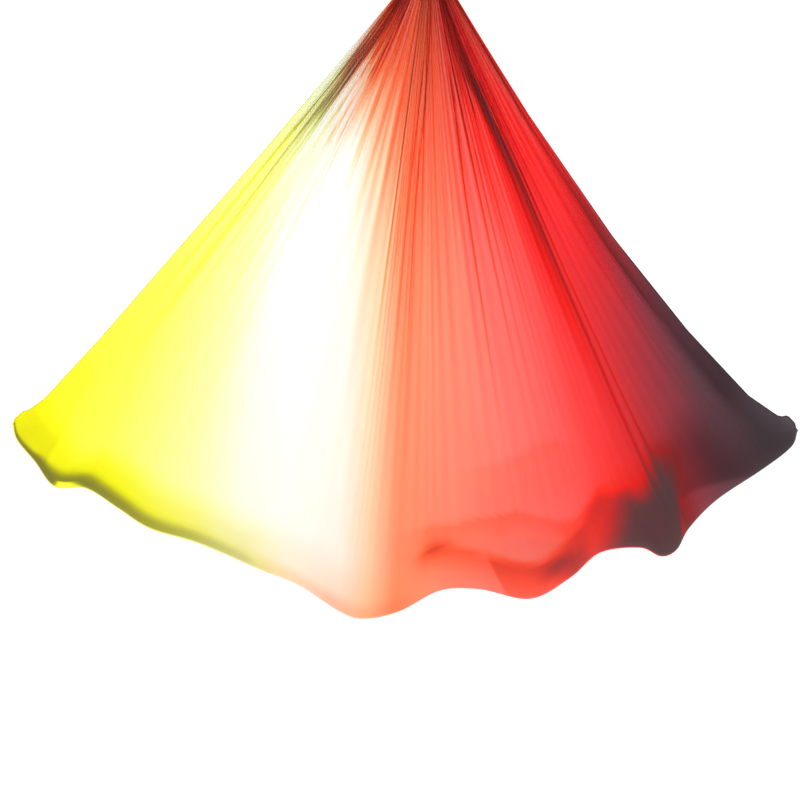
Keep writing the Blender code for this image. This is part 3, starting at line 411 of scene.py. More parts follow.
def cloth_surface(share, down, turn, layer, proud):
    """Points down a layer of the cloth, or turned round its seat, set off by proud from its outer side."""
    neck, ray, length, half_depth, fold_height = column_sizes(share)
    along = length * down + fold_height * np.sin(turn)
    reach = along / (length + fold_height)
    left, right = [np.clip(1 - inwards / HOLLOW_SHARE, 0, 1) ** 2 for inwards in (share, 1 - share)]
    hollow = reading(RIGHT_EDGE_HOLLOW, reach) * right - reading(LEFT_EDGE_HOLLOW, reach) * left
    x = neck[..., 0] + ray[..., 0] * along + ray[..., 1] * hollow
    z = neck[..., 1] + ray[..., 1] * along - ray[..., 0] * hollow
    straight = layer * (NECK_Y + (half_depth - NECK_Y) * np.clip(down, 0, 1) ** LAYER_BOW)
    y = np.where(turn > 0, -half_depth * np.cos(turn), straight)
    out_y = np.where(turn > 0, -np.cos(turn), layer)
    out_z = np.where(turn > 0, -np.sin(turn), 0.0)
    return np.stack([x, y + proud * out_y, z + proud * out_z], axis=-1)


def height_above(share, down, turn):
    """How far a point lies above the lowest line of its column, along its ray."""
    _, _, length, _, fold_height = column_sizes(share)
    return length * (1 - down) + fold_height * (1 - np.sin(turn))


def pleat_shapes(angles, steps=65):
    """Sections of one pleat as a winding line: way across and height at each step, for each swing."""
    place = np.linspace(0, 1, steps)
    across, height = [], []
    for angle in angles:
        lean = angle * np.sin(TURN * place)
        step = np.diff(place)
        for store, values in ((across, np.cos(lean)), (height, np.sin(lean))):
            store.append(np.concatenate([[0], np.cumsum(step * (values[1:] + values[:-1]) / 2)]))
    return place, np.array(across), np.array(height)


def pleat_columns(generator):
    """The pleats across the cloth: their starts, widths, how far down they last and what remains of them."""
    starts, widths, lasts, remains = [], [], [], []
    at = 0.0
    while at < 1.0 - TINY:
        _, cloth, last, remain = next(zone for zone in PLEAT_ZONES if at < zone[0] - TINY)
        width = cloth / CLOTH_WIDTH * generator.uniform(*PLEAT_WIDTHS)
        if 1.0 - at < WIDEST_LAST_PLEAT * width:
            width = 1.0 - at
        starts.append(at)
        widths.append(width)
        lasts.append(last * generator.uniform(*PLEAT_LASTS))
        remains.append(remain * generator.uniform(*PLEAT_REMAINS))
        at += width
    return [np.array(v) for v in (starts, widths, lasts, remains)]


def column_places():
    """Shares of the cloth's width at which its columns of points lie, closest where its pleats are narrow."""
    starts, widths, _, _ = pleat_columns(np.random.default_rng(FRONT_SEED))
    local = np.linspace(0, 1, PLEAT_COLUMNS + 1)[:-1]
    return np.append((starts[:, None] + widths[:, None] * local).reshape(-1), 1.0)


def pleated(rows, cloth_at, seed):
    """Where the cloth's columns lie, at shares of the way down: share of the width, height and painted shade.
    """
    starts, widths, lasts, remains = pleat_columns(np.random.default_rng(seed))
    generator = np.random.default_rng(seed + 1)
    bends = generator.uniform(-PLEAT_BEND, PLEAT_BEND, len(starts))
    valley_shades = FOLD_DEPTH_SHADE * generator.uniform(0.0, 1.0, len(starts)) ** 2
    angles = np.linspace(LEAST_SWING, WIDEST_SWING, SWINGS)
    place, across, height = pleat_shapes(angles)
    full_ratio = 1 / across[:, -1]
    spread = np.clip(rows * SPREAD_RATE + NECK_SPREAD, NECK_SPREAD, 1.0)
    cap = PLEAT_TOP_HEIGHT + (PLEAT_FULL_HEIGHT - PLEAT_TOP_HEIGHT) * grow(0, PLEAT_FULL_FROM, rows)
    # The share of a pleat's height by which its troughs lie behind the layer
    inward = 0.12 + 0.38 * grow(0.05, 0.16, rows) - 0.25 * grow(0.16, 0.4, rows)
    shares, heights, folds = [], [], []
    for at in cloth_at:
        i = min(np.searchsorted(starts, at + 1e-9) - 1, len(starts) - 1)
        width = widths[i]
        p = (at - starts[i]) / width
        keep = remains[i] + (1 - remains[i]) * fade(0.25 * lasts[i], lasts[i], rows)
        ratio = 1 + (1 / spread - 1) * keep
        angle = np.interp(ratio, full_ratio, angles)
        tall = np.maximum(ratio / full_ratio[-1], 1.0)
        end = np.interp(angle, angles, across[:, -1])
        way = np.interp(angle, angles, [np.interp(p, place, row) for row in across]) / end
        size = spread * width * CLOTH_WIDTH * tall / end
        rise = np.interp(angle, angles, [np.interp(p, place, row) for row in height]) * size
        top = np.interp(angle, angles, height.max(axis=1)) * size
        rise = rise * np.minimum(1.0, cap / np.maximum(top, TINY))
        shares.append(starts[i] + width * (way + bends[i] * np.sin(TURN * p) * (1 - rows) * 0.5))
        tight = np.clip((ratio - 1) / 1.6, 0, 1)
        sunk = 1 - np.clip(rise / np.maximum(np.minimum(top, cap), TINY), 0, 1)
        # Painted shade in the pleat's valley, where it is drawn tight and sunk
        folds.append(valley_shades[i] * tight * sunk ** 2)
        heights.append(rise - np.minimum(top, cap) * inward)
    return np.array(shares).T, np.array(heights).T, np.array(folds).T


def leaf(q):
    """A wave that peaks at 1 and -1 and dies away on both sides."""
    return q * np.exp((1 - q * q) / 2)


def billows(share, down, layer):
    """Long soft waves of a layer between its neck and its seat."""
    waves = sum(
        height * np.sin(TURN * (count * share + phase + by_layer * layer) + drift * down)
        for height, count, phase, by_layer, drift in BILLOWS
    )
    ends = grow(0, BILLOW_EDGE, np.minimum(share, 1 - share))
    return waves * np.sin(math.pi * np.clip(down, 0, 1)) ** 1.5 * ends


def crease_shade(share, down, table):
    """Painted crease shade at each point: how far the table's creases close the cloth up, from 0 to 1."""
    open_share = np.ones_like(share)
    for place, left, right, strength, last, lean in table:
        centre = place + lean * np.clip(1 - down / LEAN_ENDS, 0, 1) ** 2
        lasting = np.clip(1 - down / last, 0, 1)
        off = share - centre
        spread = np.where(off < 0, left, right) * (0.18 + 0.82 * lasting + 0.45 * lasting**3)
        # Full over the middle third of its spread
        profile = np.clip(1.5 - 1.5 * np.abs(off) / spread, 0, 1)
        open_share *= 1 - strength * lasting ** 0.4 * profile
    return 1 - open_share


def fine_crease_shades(seed):
    """A table of thin painted crease shades, thickest where the cloth is most drawn in."""
    generator = np.random.default_rng(seed)
    at = np.linspace(0, 1, 400)
    crowd = np.cumsum(reading(CREASE_CROWDS, at))
    table = []
    for _ in range(FINE_SHADE_STREAKS):
        place = np.interp(generator.uniform(0, crowd[-1]), crowd, at)
        left, right = generator.uniform(*FINE_SPREADS, 2)
        last = generator.uniform(*FINE_LASTS) ** 1.1
        strength = generator.uniform(*FINE_STRENGTHS)
        table.append((place, left, right, strength, last, generator.uniform(*FINE_LEANS)))
    return table


def hanging_fold_shade(share, above):
    """Painted shade below the edges of the folds low in the back layer, and where they press together."""
    shades = []
    for edge, _, _, _, span, shade, reach in BACK_FOLDS:
        below = reading(edge, share) - above
        strength = shade * between(*span, share)
        shades.append(strength * grow(-0.011, 0.011, below) * np.exp(-(below / reach) ** 2))
    for shade, place, half, height, tall in PRESSED_SPOTS:
        shades.append(shade * np.exp(-((share - place) / half) ** 2 - ((above - height) / tall) ** 2))
    # Painted shade of a flap of doubled cloth with a crisp edge, leaning, on its left
    flap_edge = 0.592 + 0.018 * (1 - above / 0.1)
    right_and_top = fade(0.68, 0.73, share) * fade(0.11, 0.135, above)
    shades.append(0.46 * grow(-0.002, 0.002, share - flap_edge) * right_and_top)
    # Painted shade of folded cloth behind the lobe, with a wavy upper edge
    waves = 0.05 * np.sin(60 * share) * fade(0.72, 0.76, share)
    shades.append(0.56 * between(0.67, 0.71, 0.78, 0.83, share) * fade(0.15, 0.225, above - waves))
    return together(shades)


def bottom_shades(share, above):
    """Painted shade along the front layer's edge from the left tip to the middle, where it turns under."""
    # Just past the tip the end of a fold stands clear of the cloth behind it and shines through: the painted
    # shade is lifted there.
    sliver = 0.95 * grow(0.078, 0.09, share) * fade(0.1, 0.126, share + 0.6 * above)
    sliver = sliver * fade(0.024, 0.033, above)
    under = reading(UNDER_SHADE, share) * fade(0.024, 0.082, above / reading(UNDER_HEIGHT, share))
    soft = 0.4 * fade(0.3, 0.4, share) * fade(0.08, 0.19, above)
    peach_under_shade = 0.27 * between(0.32, 0.42, 0.48, 0.54, share) * fade(0.05, 0.2, above)
    tip = 0.14 * fade(0.06, 0.066, share + 0.1 * above) * fade(0.3, 0.34, above)
    return [under * (1 - sliver), soft * (1 - sliver), peach_under_shade, tip]


def lobe_shades(share, down, above):
    """Painted shade of the front layer where a lobe of the seat folds over itself, and on to the right
    selvage.
    """
    # The lobe's right edge is crisp low down and melts into the cloth beside it higher up.
    blur = 0.0012 + 0.035 * grow(0.11, 0.2, above)
    past_edge = np.clip(0.5 + (share - 0.822 - 0.16 * above) / (2 * blur), 0, 1)
    left_edge = grow(-0.008, 0.06, share - 0.706 - 0.26 * above)
    lobe = 0.86 * left_edge * (1 - past_edge) * fade(0.15, 0.31, above)
    haze_end = 0.3 + 0.18 * grow(0.72, 0.8, share)
    haze = 0.6 * between(0.7, 0.795, 0.836, 0.872, share) * fade(0.12, haze_end, above)
    over = 0.42 * grow(-0.012, 0.012, above - 0.105 + 1.1 * (share - 0.84))
    over = over * between(0.82, 0.836, 0.9, 0.96, share) * fade(0.16, 0.34, above)
    selvage = 0.42 * grow(0.955, 0.975, share) * grow(0.34, 0.5, down)
    return [lobe, haze, over, selvage * grow(0.12, 0.3, above)]


def front_shading(share, down, above):
    """Painted shade on a point of the front layer, where it has more cloth or shade than the plain sheet,
    from 0 to 1.
    """
    painted_shade = crease_shade(share, down, FRONT_CREASE_SHADES + fine_crease_shades(FRONT_SEED))
    # Right under the knot the bundles stand apart, and no painted crease shade goes full.
    painted_shade = np.minimum(painted_shade, 0.7 + 0.3 * grow(0.1, 0.36, down))
    shade = together([
        0.94 * painted_shade, *bottom_shades(share, above), *lobe_shades(share, down, above),
        0.8 * hanging_fold_shade(share, above),
    ])
    # The thin turned edge at the very bottom lets the most light through: its painted shade is lightened.
    return shade * (0.25 + 0.75 * grow(-0.001, 0.009, above))


def back_shading(share, down, above):
    """The same for the back layer."""
    return together([0.7 * crease_shade(share, down, fine_crease_shades(BACK_SEED)), 0.8 * hanging_fold_shade(share, above)])


def lay_front(cloth_at):
    """The front layer from its neck down, and the seat's front half: points and shades."""
    upper = LOWER_FROM * np.linspace(0, 1, UPPER_ROWS) ** ROW_CROWDING
    rows = np.concatenate([upper, np.linspace(LOWER_FROM, 1, LOWER_ROWS + 1)[1:]])
    share, rise, folds = pleated(rows, cloth_at, FRONT_SEED)
    down, turn = rows[:, None] + 0 * share, 0 * share
    points = cloth_surface(share, down, turn, -1.0, rise + billows(share, down, -1))
    shades = together([front_shading(share, down, height_above(share, down, turn)), folds])

    share = np.repeat(cloth_at[None], SEAT_ROWS, axis=0)
    down = 0 * share + 1
    turn = np.linspace(0, math.pi / 2, SEAT_ROWS + 1)[1:, None] + 0 * share
    seat = cloth_surface(share, down, turn, 0.0, rise[-1:] * fade(0, math.pi / 2, turn))
    seat_shades = front_shading(share, down, height_above(share, down, turn))
    return np.concatenate([points, seat]), np.concatenate([shades, seat_shades])


def lay_back(cloth_at):
    """The seat's back half, and the back layer up to its neck: points and shades."""
    # Rows are placed by the distance from the lowest line, closest where the folds lie.
    lower = np.linspace(0, FOLD_ROOM, FOLD_ROWS + 1)[1:]
    upper = FOLD_ROOM + (1 - (1 - np.linspace(0, 1, UPPER_BACK_ROWS + 1)[1:]) ** BACK_ROW_CROWDING)
    heights = np.concatenate([lower, upper])[:, None]
    _, _, length, half_depth, fold_height = column_sizes(cloth_at)
    quarter = math.pi / 2 * np.sqrt((half_depth**2 + fold_height**2) / 2)
    total = quarter + length
    # Above the folds' room the rows are shares of what is left of the way up.
    above_line = np.where(
        heights <= FOLD_ROOM, heights + 0 * total, FOLD_ROOM + (heights - FOLD_ROOM) * (total - FOLD_ROOM))
    way, proud = above_line, 0 * above_line
    for edge, back, half, depth, span, _, _ in BACK_FOLDS:
        strength = between(*span, cloth_at)
        run = np.minimum(back * strength, 0.7 * np.maximum(reading(edge, cloth_at) - 0.05, 0))
        centre = reading(edge, cloth_at) - np.maximum(run - half, 0)
        wave = leaf((way - centre) / half) * grow(0.005, 0.06, above_line)
        proud = proud + depth * strength * wave
        way = way - run * wave
    way = np.clip(way, -0.25, total)
    down = np.clip(1 - (way - quarter) / length, 0, 1)
    turn = np.where(way < quarter, math.pi / 2 + math.pi / 2 * way / quarter, 0.0)
    share, rise, folds = pleated(down.mean(axis=1), cloth_at, BACK_SEED)
    on_layer = np.where(turn > 0, 0.0, 1.0)
    proud = rise + proud + billows(share, down, 1) * on_layer
    shade = back_shading(share, down, height_above(share, down, turn))
    return cloth_surface(share, down, turn, on_layer, proud), together([shade, folds])


def lay_cloth(cloth_at):
    """The whole sheet, from the front choke round the seat to the back choke: points and shades."""
    points, shades = [np.concatenate(halves) for halves in zip(lay_front(cloth_at), lay_back(cloth_at))]
    # Both ends run on up into the chokes.
    ends = (NECK_ROWS, NECK_ROWS)
    points, shades = np.pad(points, (ends, (0, 0), (0, 0)), "edge"), np.pad(shades, (ends, (0, 0)), "edge")
    up = NECK_Z + NECK_IN_CHOKE * np.arange(1, NECK_ROWS + 1)[:, None] / NECK_ROWS
    points[:NECK_ROWS, :, 2], points[-NECK_ROWS:, :, 2] = up[::-1], up
    return ruffle_tips(points), shades


def ruffle_tips(points):
    """Small scallops and a lump in both selvages, where the tips of the seat are drawn tight."""
    for column, side, lump in zip((0, -1), (-1, 1), TIP_LUMPS):
        border = points[:, column]
        along = lengths_along(border)
        along -= along[np.argmax(side * border[:, 0])]
        inwards = np.linalg.norm(points - border[:, None], axis=-1)
        wave = np.sin(TURN * along / SCALLOP_LENGTH + SCALLOP_PHASE) * np.exp(-(along / SCALLOP_REACH) ** 2)
        wave = wave[:, None] * np.exp(-inwards / SCALLOP_INWARDS)
        points[..., 1] += SCALLOP_DEPTH * wave
        points[..., 0] -= side * SCALLOP_NOTCH * np.abs(wave)
        near = np.exp(-((along + LUMP_PLACE) / LUMP_LENGTH) ** 2)
        points[..., 2] += lump * near[:, None] * np.exp(-inwards / LUMP_INWARDS)
    return points


def on_dye(place):
    """A place along the dye, in metres, as a share from its yellow end to its charcoal end."""
    return (place + DYE_REACH) / (2 * DYE_REACH)


def dye_place(points):
    """Where each point lies on the dye's gradient, 0 at the yellow end and 1 at the charcoal end."""
    below = np.maximum(KNOT_Z - points[..., 2], LEAST_DROP)
    drop = below / DYE_DROP
    radial = points[..., 0] / drop
    place = points[..., 0] * drop ** -reading(DYE_FANNING, radial)
    drawn = (0.8 + 0.2 * grow(-1.36, -1.05, radial)) * fade(-0.85, -0.22, radial)
    # Neighbouring bundles of folds bring cloth from different places to the surface near the knot.
    bundles = sum(0.5 * np.sin(radial / length + phase) for length, phase in BUNDLES)
    place = place + drawn * reading(DYE_DRAW, below / DYE_DRAW_LENGTH) * (1 + BUNDLE_DRAW * bundles)
    fading = np.exp(-(below / BUNDLE_DROP) ** 2) * grow(-0.9, -0.3, radial)
    return np.clip(on_dye(place + BUNDLE_SHIFT * bundles * fading), 0, 1)


def grid_piece(name, points, dye, painted_shade, material, cloth_u=None, closed=False, looped=False):
    """A mesh through a grid of points (rows, columns, 3), with the cloth's dye and painted shade attributes
    and a map in metres.
    """
    rows, columns = points.shape[:2]
    index = np.arange(rows * columns).reshape(rows, columns)
    if closed:
        index = np.concatenate([index, index[:, :1]], axis=1)
    if looped:
        index = np.concatenate([index, index[:1]])
    quads = np.stack([index[:-1, :-1], index[:-1, 1:], index[1:, 1:], index[1:, :-1]], axis=-1)
    faces = quads.reshape(-1, 4).tolist()
    if closed and not looped:
        for row, turned in ((0, True), (rows - 1, False)):
            for i in range(columns // 2):
                face = [row * columns + k % columns for k in (i, i + 1, columns - i - 1, columns - i)]
                face = list(dict.fromkeys(face))
                faces.append(face[::-1] if turned else face)
    mesh = bpy.data.meshes.new(name)
    mesh.from_pydata(points.reshape(-1, 3).tolist(), [], faces)
    for label, values in (("dye", dye), ("painted_shade", painted_shade)):
        attribute = mesh.attributes.new(label, "FLOAT", "POINT")
        values = np.broadcast_to(values, (rows, columns)).reshape(-1).astype(np.float32)
        attribute.data.foreach_set("value", values)
    along = np.linalg.norm(np.diff(points, axis=0), axis=-1).mean(axis=1)
    v = np.repeat(np.concatenate([[0], np.cumsum(along)]), columns)
    if cloth_u is None:
        cloth_u = np.linspace(0, STRAP_MAP_WIDTH, columns)
    u = np.tile(cloth_u, rows)
    loops = np.zeros(len(mesh.loops), np.int32)
    mesh.loops.foreach_get("vertex_index", loops)
    layer = mesh.uv_layers.new(name="cut")
    layer.data.foreach_set("uv", np.stack([u[loops], v[loops]], axis=-1).reshape(-1))
    mesh.validate()
    mesh.shade_smooth()
    mesh.materials.append(material)
    if closed:
        # Its faces look outwards.
        shape = bmesh.new()
        shape.from_mesh(mesh)
        bmesh.ops.recalc_face_normals(shape, faces=shape.faces)
        shape.to_mesh(mesh)
        shape.free()
    return show(name, mesh)


def colour_ramp(tree, factor, stops):
    """A ramp through stops of (place, sRGB hex)."""
    ramp = add(tree, "ValToRGB", [("Fac", factor)])
    elements = ramp.color_ramp.elements
    while len(elements) < len(stops):
        elements.new(0.5)
    for element, (place, colour) in zip(elements, stops):
        element.position = place
        element.color = linear(colour)
    return ramp


def dyed_tricot():
    """Warp-knitted nylon tricot, dyed across its width: even, soft and thin enough to let light through,
    darkened by painted shade.
    """
    material, tree = new_material("dyed_tricot")
    dye, painted_shade = [add(tree, "Attribute", attribute_name=name).outputs["Fac"] for name in ("dye", "painted_shade")]
    ramp = colour_ramp(tree, dye, [(on_dye(place), colour) for place, colour in DYE_STOPS])
    # Painted shade where the cloth is drawn together and light crosses more layers: the colours deepen, then
    # turn dark.
    layers = colour_ramp(tree, painted_shade, SHADE_COLOURS[0])
    for (start, end), colours in zip(SHADE_CHANGES, SHADE_COLOURS[1:]):
        reached = add(tree, "MapRange", [("Value", dye)], From_Min=on_dye(start), From_Max=on_dye(end))
        following = colour_ramp(tree, painted_shade, colours)
        layers = add(tree, "MixRGB", [("Fac", reached), ("Color1", layers), ("Color2", following)])
    shaded_dye = add(tree, "MixRGB", [("Color1", ramp), ("Color2", layers)], blend_type="MULTIPLY", Fac=1.0)
    # The painted shade colour for the deepest folds, warm or cool with the dye
    warmth = add(tree, "MapRange", [("Value", dye)], From_Min=0.2, From_Max=0.36)
    depth = add(tree, "MixRGB", [("Fac", warmth)], Color1=linear(COOL_SHADE), Color2=linear(WARM_SHADE))
    shade_to_darkest = add(tree, "MapRange", [("Value", painted_shade)], From_Min=0.52, From_Max=0.92, To_Max=0.96)
    tone = add(tree, "MixRGB", [("Fac", shade_to_darkest), ("Color1", shaded_dye), ("Color2", depth)])
    cut = add(tree, "TexCoord").outputs["UV"]
    # Wales are 0.6 mm apart in the real knit; drawn 6 mm apart so that they show at all.
    wales = add(tree, "Mapping", [("Vector", cut)], Scale=(160.0, 9.0, 1.0))
    ribs = add(tree, "TexNoise", [("Vector", wales)], Scale=1.0, Detail=3.0)
    bump = add(tree, "Bump", [("Height", ribs)], Strength=0.12, Distance=0.002)
    face = add(
        tree, "BsdfPrincipled", [("Base Color", tone), ("Normal", bump)],
        Roughness=0.78, Sheen_Weight=0.1, Sheen_Roughness=0.5)
    through = add(tree, "BsdfTranslucent", [("Color", tone)])
    open_knit = add(tree, "BsdfTransparent", [("Color", tone)])
    thin = add(tree, "MixShader", [(1, face), (2, through)], Fac=0.68)
    knit = add(tree, "MixShader", [(1, thin), (2, open_knit)], Fac=0.1)
    add(tree, "OutputMaterial", [("Surface", knit)])
    return material


def gathered_section(folds, depth, phase, count=144):
    """A gathered strap's section: places across and through it, from -1 to 1, and how deep in a fold."""
    turn = np.linspace(0, TURN, count, endpoint=False)
    cos, sin = np.cos(turn), np.sin(turn)
    across = np.sign(cos) * np.abs(cos) ** 0.55
    through = np.sign(sin) * np.abs(sin) ** 0.62 * (1 - 0.4 * np.abs(across) ** 3)
    valley = 1 - np.abs(np.sin(folds * turn / 2 + phase + 0.9 * np.sin(3 * turn))) ** 0.6
    return across * (1 - 0.35 * depth * valley), through * (1 - depth * valley), valley


def make_end_wrap(label, y, top_dye, material):
    """The gathered end: its frilled tail, up through the choke, over the basket and down into the choke."""
    inside = 1 if y < 0 else -1
    middle = ROD_RADIUS + WRAP_CLEARANCE + WRAP_THICKNESS / 2
    leg_apart = WRAP_THICKNESS / 2 + LAYER_GAP
    choke_top = KNOT_Z + CHOKE_HEIGHT / 2
    rings, shades, places = [], [], []

    def section(step):
        across, through, valley = gathered_section(END_FOLDS, END_FOLD_DEPTH, 0.35 * math.sin(0.8 * step))
        # Painted shade, darkest in the fold valleys
        shades.append(0.3 + 0.62 * valley)
        places.append(across)
        return across, through

    def leg_ring(leg_y, z, half_width=LEG_HALF_WIDTH, thickness=WRAP_THICKNESS, lift=0, facing=1, frill=0):
        across, through = section(len(rings))
        rise = lift * BASKET_RADIUS * (1 - np.cos(WRAP_ARC * across))
        waves = frill * np.sin(TURN * 2.6 * across + 0.7)
        depth = leg_y + inside * (facing * through * thickness / 2 + waves)
        rings.append(np.stack([half_width * across, depth, z + rise], axis=1))

    tail_y, tail_z = y + inside * leg_apart, NECK_Z - TAIL_LENGTH
    for i, (wide, thick, frill) in enumerate(TAIL_FRILLS):
        z = tail_z + (NECK_Z - tail_z) * i / 7
        leg_ring(tail_y, z, wide * TAIL_HALF_WIDTH, thick * TAIL_END_THICKNESS, frill=frill)
    # The cut end runs a little uneven.
    rings[0][:, 2] += 0.0025 * np.sin(9 * places[0] + 0.4)
    leg_ring(tail_y, NECK_Z - 0.02, 1.03 * LEG_HALF_WIDTH, 0.98 * WRAP_THICKNESS)
    leg_ring(tail_y, NECK_Z)
    leg_ring(tail_y, KNOT_Z, 0.97 * LEG_HALF_WIDTH)
    leg_ring(tail_y, choke_top)
    basket_y = y + inside * middle
    halfway_z = (choke_top + BASKET_Z) / 2
    leg_ring((tail_y + basket_y) / 2, halfway_z, lift=0.5)
    for turn in np.linspace(math.pi / 2, -math.pi / 2, BASKET_RINGS):
        across, through = section(len(rings))
        radius = middle + through * WRAP_THICKNESS / 2
        reach = BASKET_RADIUS - radius * math.cos(turn)
        rings.append(np.stack([
            reach * np.sin(WRAP_ARC * across), y + inside * radius * math.sin(turn),
            BASKET_ARC_Z - reach * np.cos(WRAP_ARC * across),
        ], axis=1))
    outer_y, neck_y = y - inside * middle, y - inside * leg_apart
    leg_ring((outer_y + neck_y) / 2, halfway_z, lift=0.5, facing=-1)
    leg_ring(neck_y, choke_top, facing=-1)
    leg_ring(neck_y, NECK_Z + NECK_IN_CHOKE - 0.001, 0.97 * LEG_HALF_WIDTH, facing=-1)
    points, shade, place = [smoothed(values, 3) for values in (rings, shades, places)]
    dye = np.interp(place, np.linspace(-1, 1, len(top_dye)), top_dye)
    return grid_piece(f"{label}_gathered_end", points, dye, shade, material, closed=True)


def make_choke(label, y, top_dye, material):
    """The turns that draw the gathers tight: a band of two swells of folded cloth round both legs."""
    inner_x, inner_y = LEG_HALF_WIDTH + LAYER_GAP, WRAP_THICKNESS + 2 * LAYER_GAP
    place = np.linspace(0, TURN, CHOKE_SIDES, endpoint=False)
    outer = np.clip(np.cos(place), 0, None) ** 0.5
    height = np.sin(place)
    rows, shades, dyes = [], [], []
    for angle in np.linspace(0, TURN, CHOKE_STEPS, endpoint=False):
        cos, sin = math.cos(angle), math.sin(angle)
        x = inner_x * CHOKE_CLEARANCE * math.copysign(abs(cos) ** CHOKE_ROUNDNESS, cos)
        side = inner_y * CHOKE_CLEARANCE * math.copysign(abs(sin) ** CHOKE_ROUNDNESS, sin)
        out = Vector((x / inner_x**2, side / inner_y**2)).normalized()
        folds = 1 - np.abs(np.sin(CHOKE_FOLDS * place + angle + 0.5 * math.sin(2 * angle))) ** 0.7
        two = 1 - 0.4 * np.exp(-((height - 0.06 * math.sin(2 * angle)) / 0.13) ** 2)
        proud = CHOKE_THICKNESS * CHOKE_CLEARANCE * outer * two * (1 - 0.13 * folds)
        tilt = 0.1 * CHOKE_HEIGHT / 2 * sin
        rows.append(np.stack([
            x + out.x * proud, y + side + out.y * proud, KNOT_Z + height * CHOKE_HEIGHT / 2 * 0.97 + tilt
        ], axis=1))
        # Painted shade in the folds and between the two swells
        shades.append(0.22 + 0.62 * np.maximum(folds * outer, 1 - two))
        dyes.append(np.interp(x / inner_x + 0.5 * height, np.linspace(-1, 1, len(top_dye)), top_dye))
    return grid_piece(
        f"{label}_choke_turns", np.array(rows), np.array(dyes), np.array(shades), material,
        closed=True, looped=True)


def make_hem(label, border, dye, material, sides=10):
    """The rolled selvage along a border of the sheet."""
    way = np.gradient(border, axis=0)
    way /= np.linalg.norm(way, axis=1)[:, None]
    normal = np.cross(way[0], (0.0, 1.0, 0.0))
    angle = np.linspace(0, TURN, sides, endpoint=False)[:, None]
    rings = []
    for point, tangent in zip(border, way):
        normal = normal - tangent * (normal @ tangent)
        normal /= np.linalg.norm(normal)
        other = np.cross(tangent, normal)
        rings.append(point + HEM_RADIUS * (np.cos(angle) * normal + np.sin(angle) * other))
    shade = np.full((len(border), 1), HEM_SHADE)
    return grid_piece(f"{label}_selvage", np.array(rings), dye[:, None], shade, material, closed=True)


def metal(name, colour, cloud, roughness, grain, bump_height):
    """A metal finish: its colour and clouds, its least and most roughness, and its grain in marks a metre."""
    material, tree = new_material(name)
    place = add(tree, "TexCoord").outputs["Object"]
    turned = add(tree, "Mapping", [("Vector", place)], Scale=grain)
    marks = add(tree, "TexNoise", [("Vector", turned)], Scale=1.0, Detail=6.0)
    clouds = add(tree, "TexNoise", [("Vector", place)], Scale=70.0, Detail=3.0)
    tone = add(tree, "MixRGB", [("Fac", clouds)], Color1=linear(colour), Color2=linear(cloud))
    spread = add(tree, "MapRange", [("Value", marks)], To_Min=roughness[0], To_Max=roughness[1])
    bump = add(tree, "Bump", [("Height", marks)], Strength=0.5, Distance=bump_height)
    face = add(
        tree, "BsdfPrincipled", [("Base Color", tone), ("Roughness", spread), ("Normal", bump)], Metallic=1.0)
    add(tree, "OutputMaterial", [("Surface", face)])
    return material


def moulded_rubber():
    """Moulded nitrile rubber: near black, matt, with a fine grain from its mould."""
    material, tree = new_material("moulded_rubber")
    place = add(tree, "TexCoord").outputs["Object"]
    grain = add(tree, "TexNoise", [("Vector", place)], Scale=1400.0, Detail=4.0)
    tone = add(tree, "MixRGB", [("Fac", grain)], Color1=linear("#17181a"), Color2=linear("#2b2b2c"))
    bump = add(tree, "Bump", [("Height", grain)], Strength=0.4, Distance=0.0001)
    face = add(tree, "BsdfPrincipled", [("Base Color", tone), ("Normal", bump)], Roughness=0.72)
    add(tree, "OutputMaterial", [("Surface", face)])
    return material


def finished_copy(node, material):
    """A finished copy of a node: a rod or ring is rounded, and a machined piece gets narrow bevels."""
    mesh = frame["nodes"][node].data.copy()
    mesh.name = f"finished_{node}"
    round_rod = node in ROUND_RODS
    work = bmesh.new()
    work.from_mesh(mesh)
    bmesh.ops.remove_doubles(work, verts=work.verts, dist=MERGE_DISTANCE)
    if round_rod:
        bmesh.ops.join_triangles(
            work, faces=work.faces, angle_face_threshold=ROD_FACET_ANGLE, angle_shape_threshold=ROD_SKEW)
        layer = work.edges.layers.float.new("crease_edge")
        for edge in work.edges:
            edge[layer] = 1.0 if edge.calc_face_angle(0) > ROD_END_ANGLE else 0.0
    else:
        bmesh.ops.dissolve_limit(
            work, angle_limit=FLAT_ANGLE, use_dissolve_boundaries=False, verts=work.verts, edges=work.edges)
    work.to_mesh(mesh)
    work.free()
    mesh.materials.clear()
    mesh.materials.append(material)
    piece = show(mesh.name, mesh)
    bpy.ops.object.select_all(action="DESELECT")
    piece.select_set(True)
    bpy.context.view_layer.objects.active = piece
    if round_rod:
        finish = piece.modifiers.new("rounded", "SUBSURF")
        finish.levels = finish.render_levels = ROD_LEVELS
    else:
        finish = piece.modifiers.new("eased_edges", "BEVEL")
        finish.limit_method = "ANGLE"
        finish.angle_limit = SHARP_ANGLE
        finish.width = EASED_EDGE
        finish.segments = EASED_SEGMENTS
    bpy.ops.object.modifier_apply(modifier=finish.name)
    bpy.ops.object.shade_smooth_by_angle(angle=SHARP_ANGLE)
    return piece


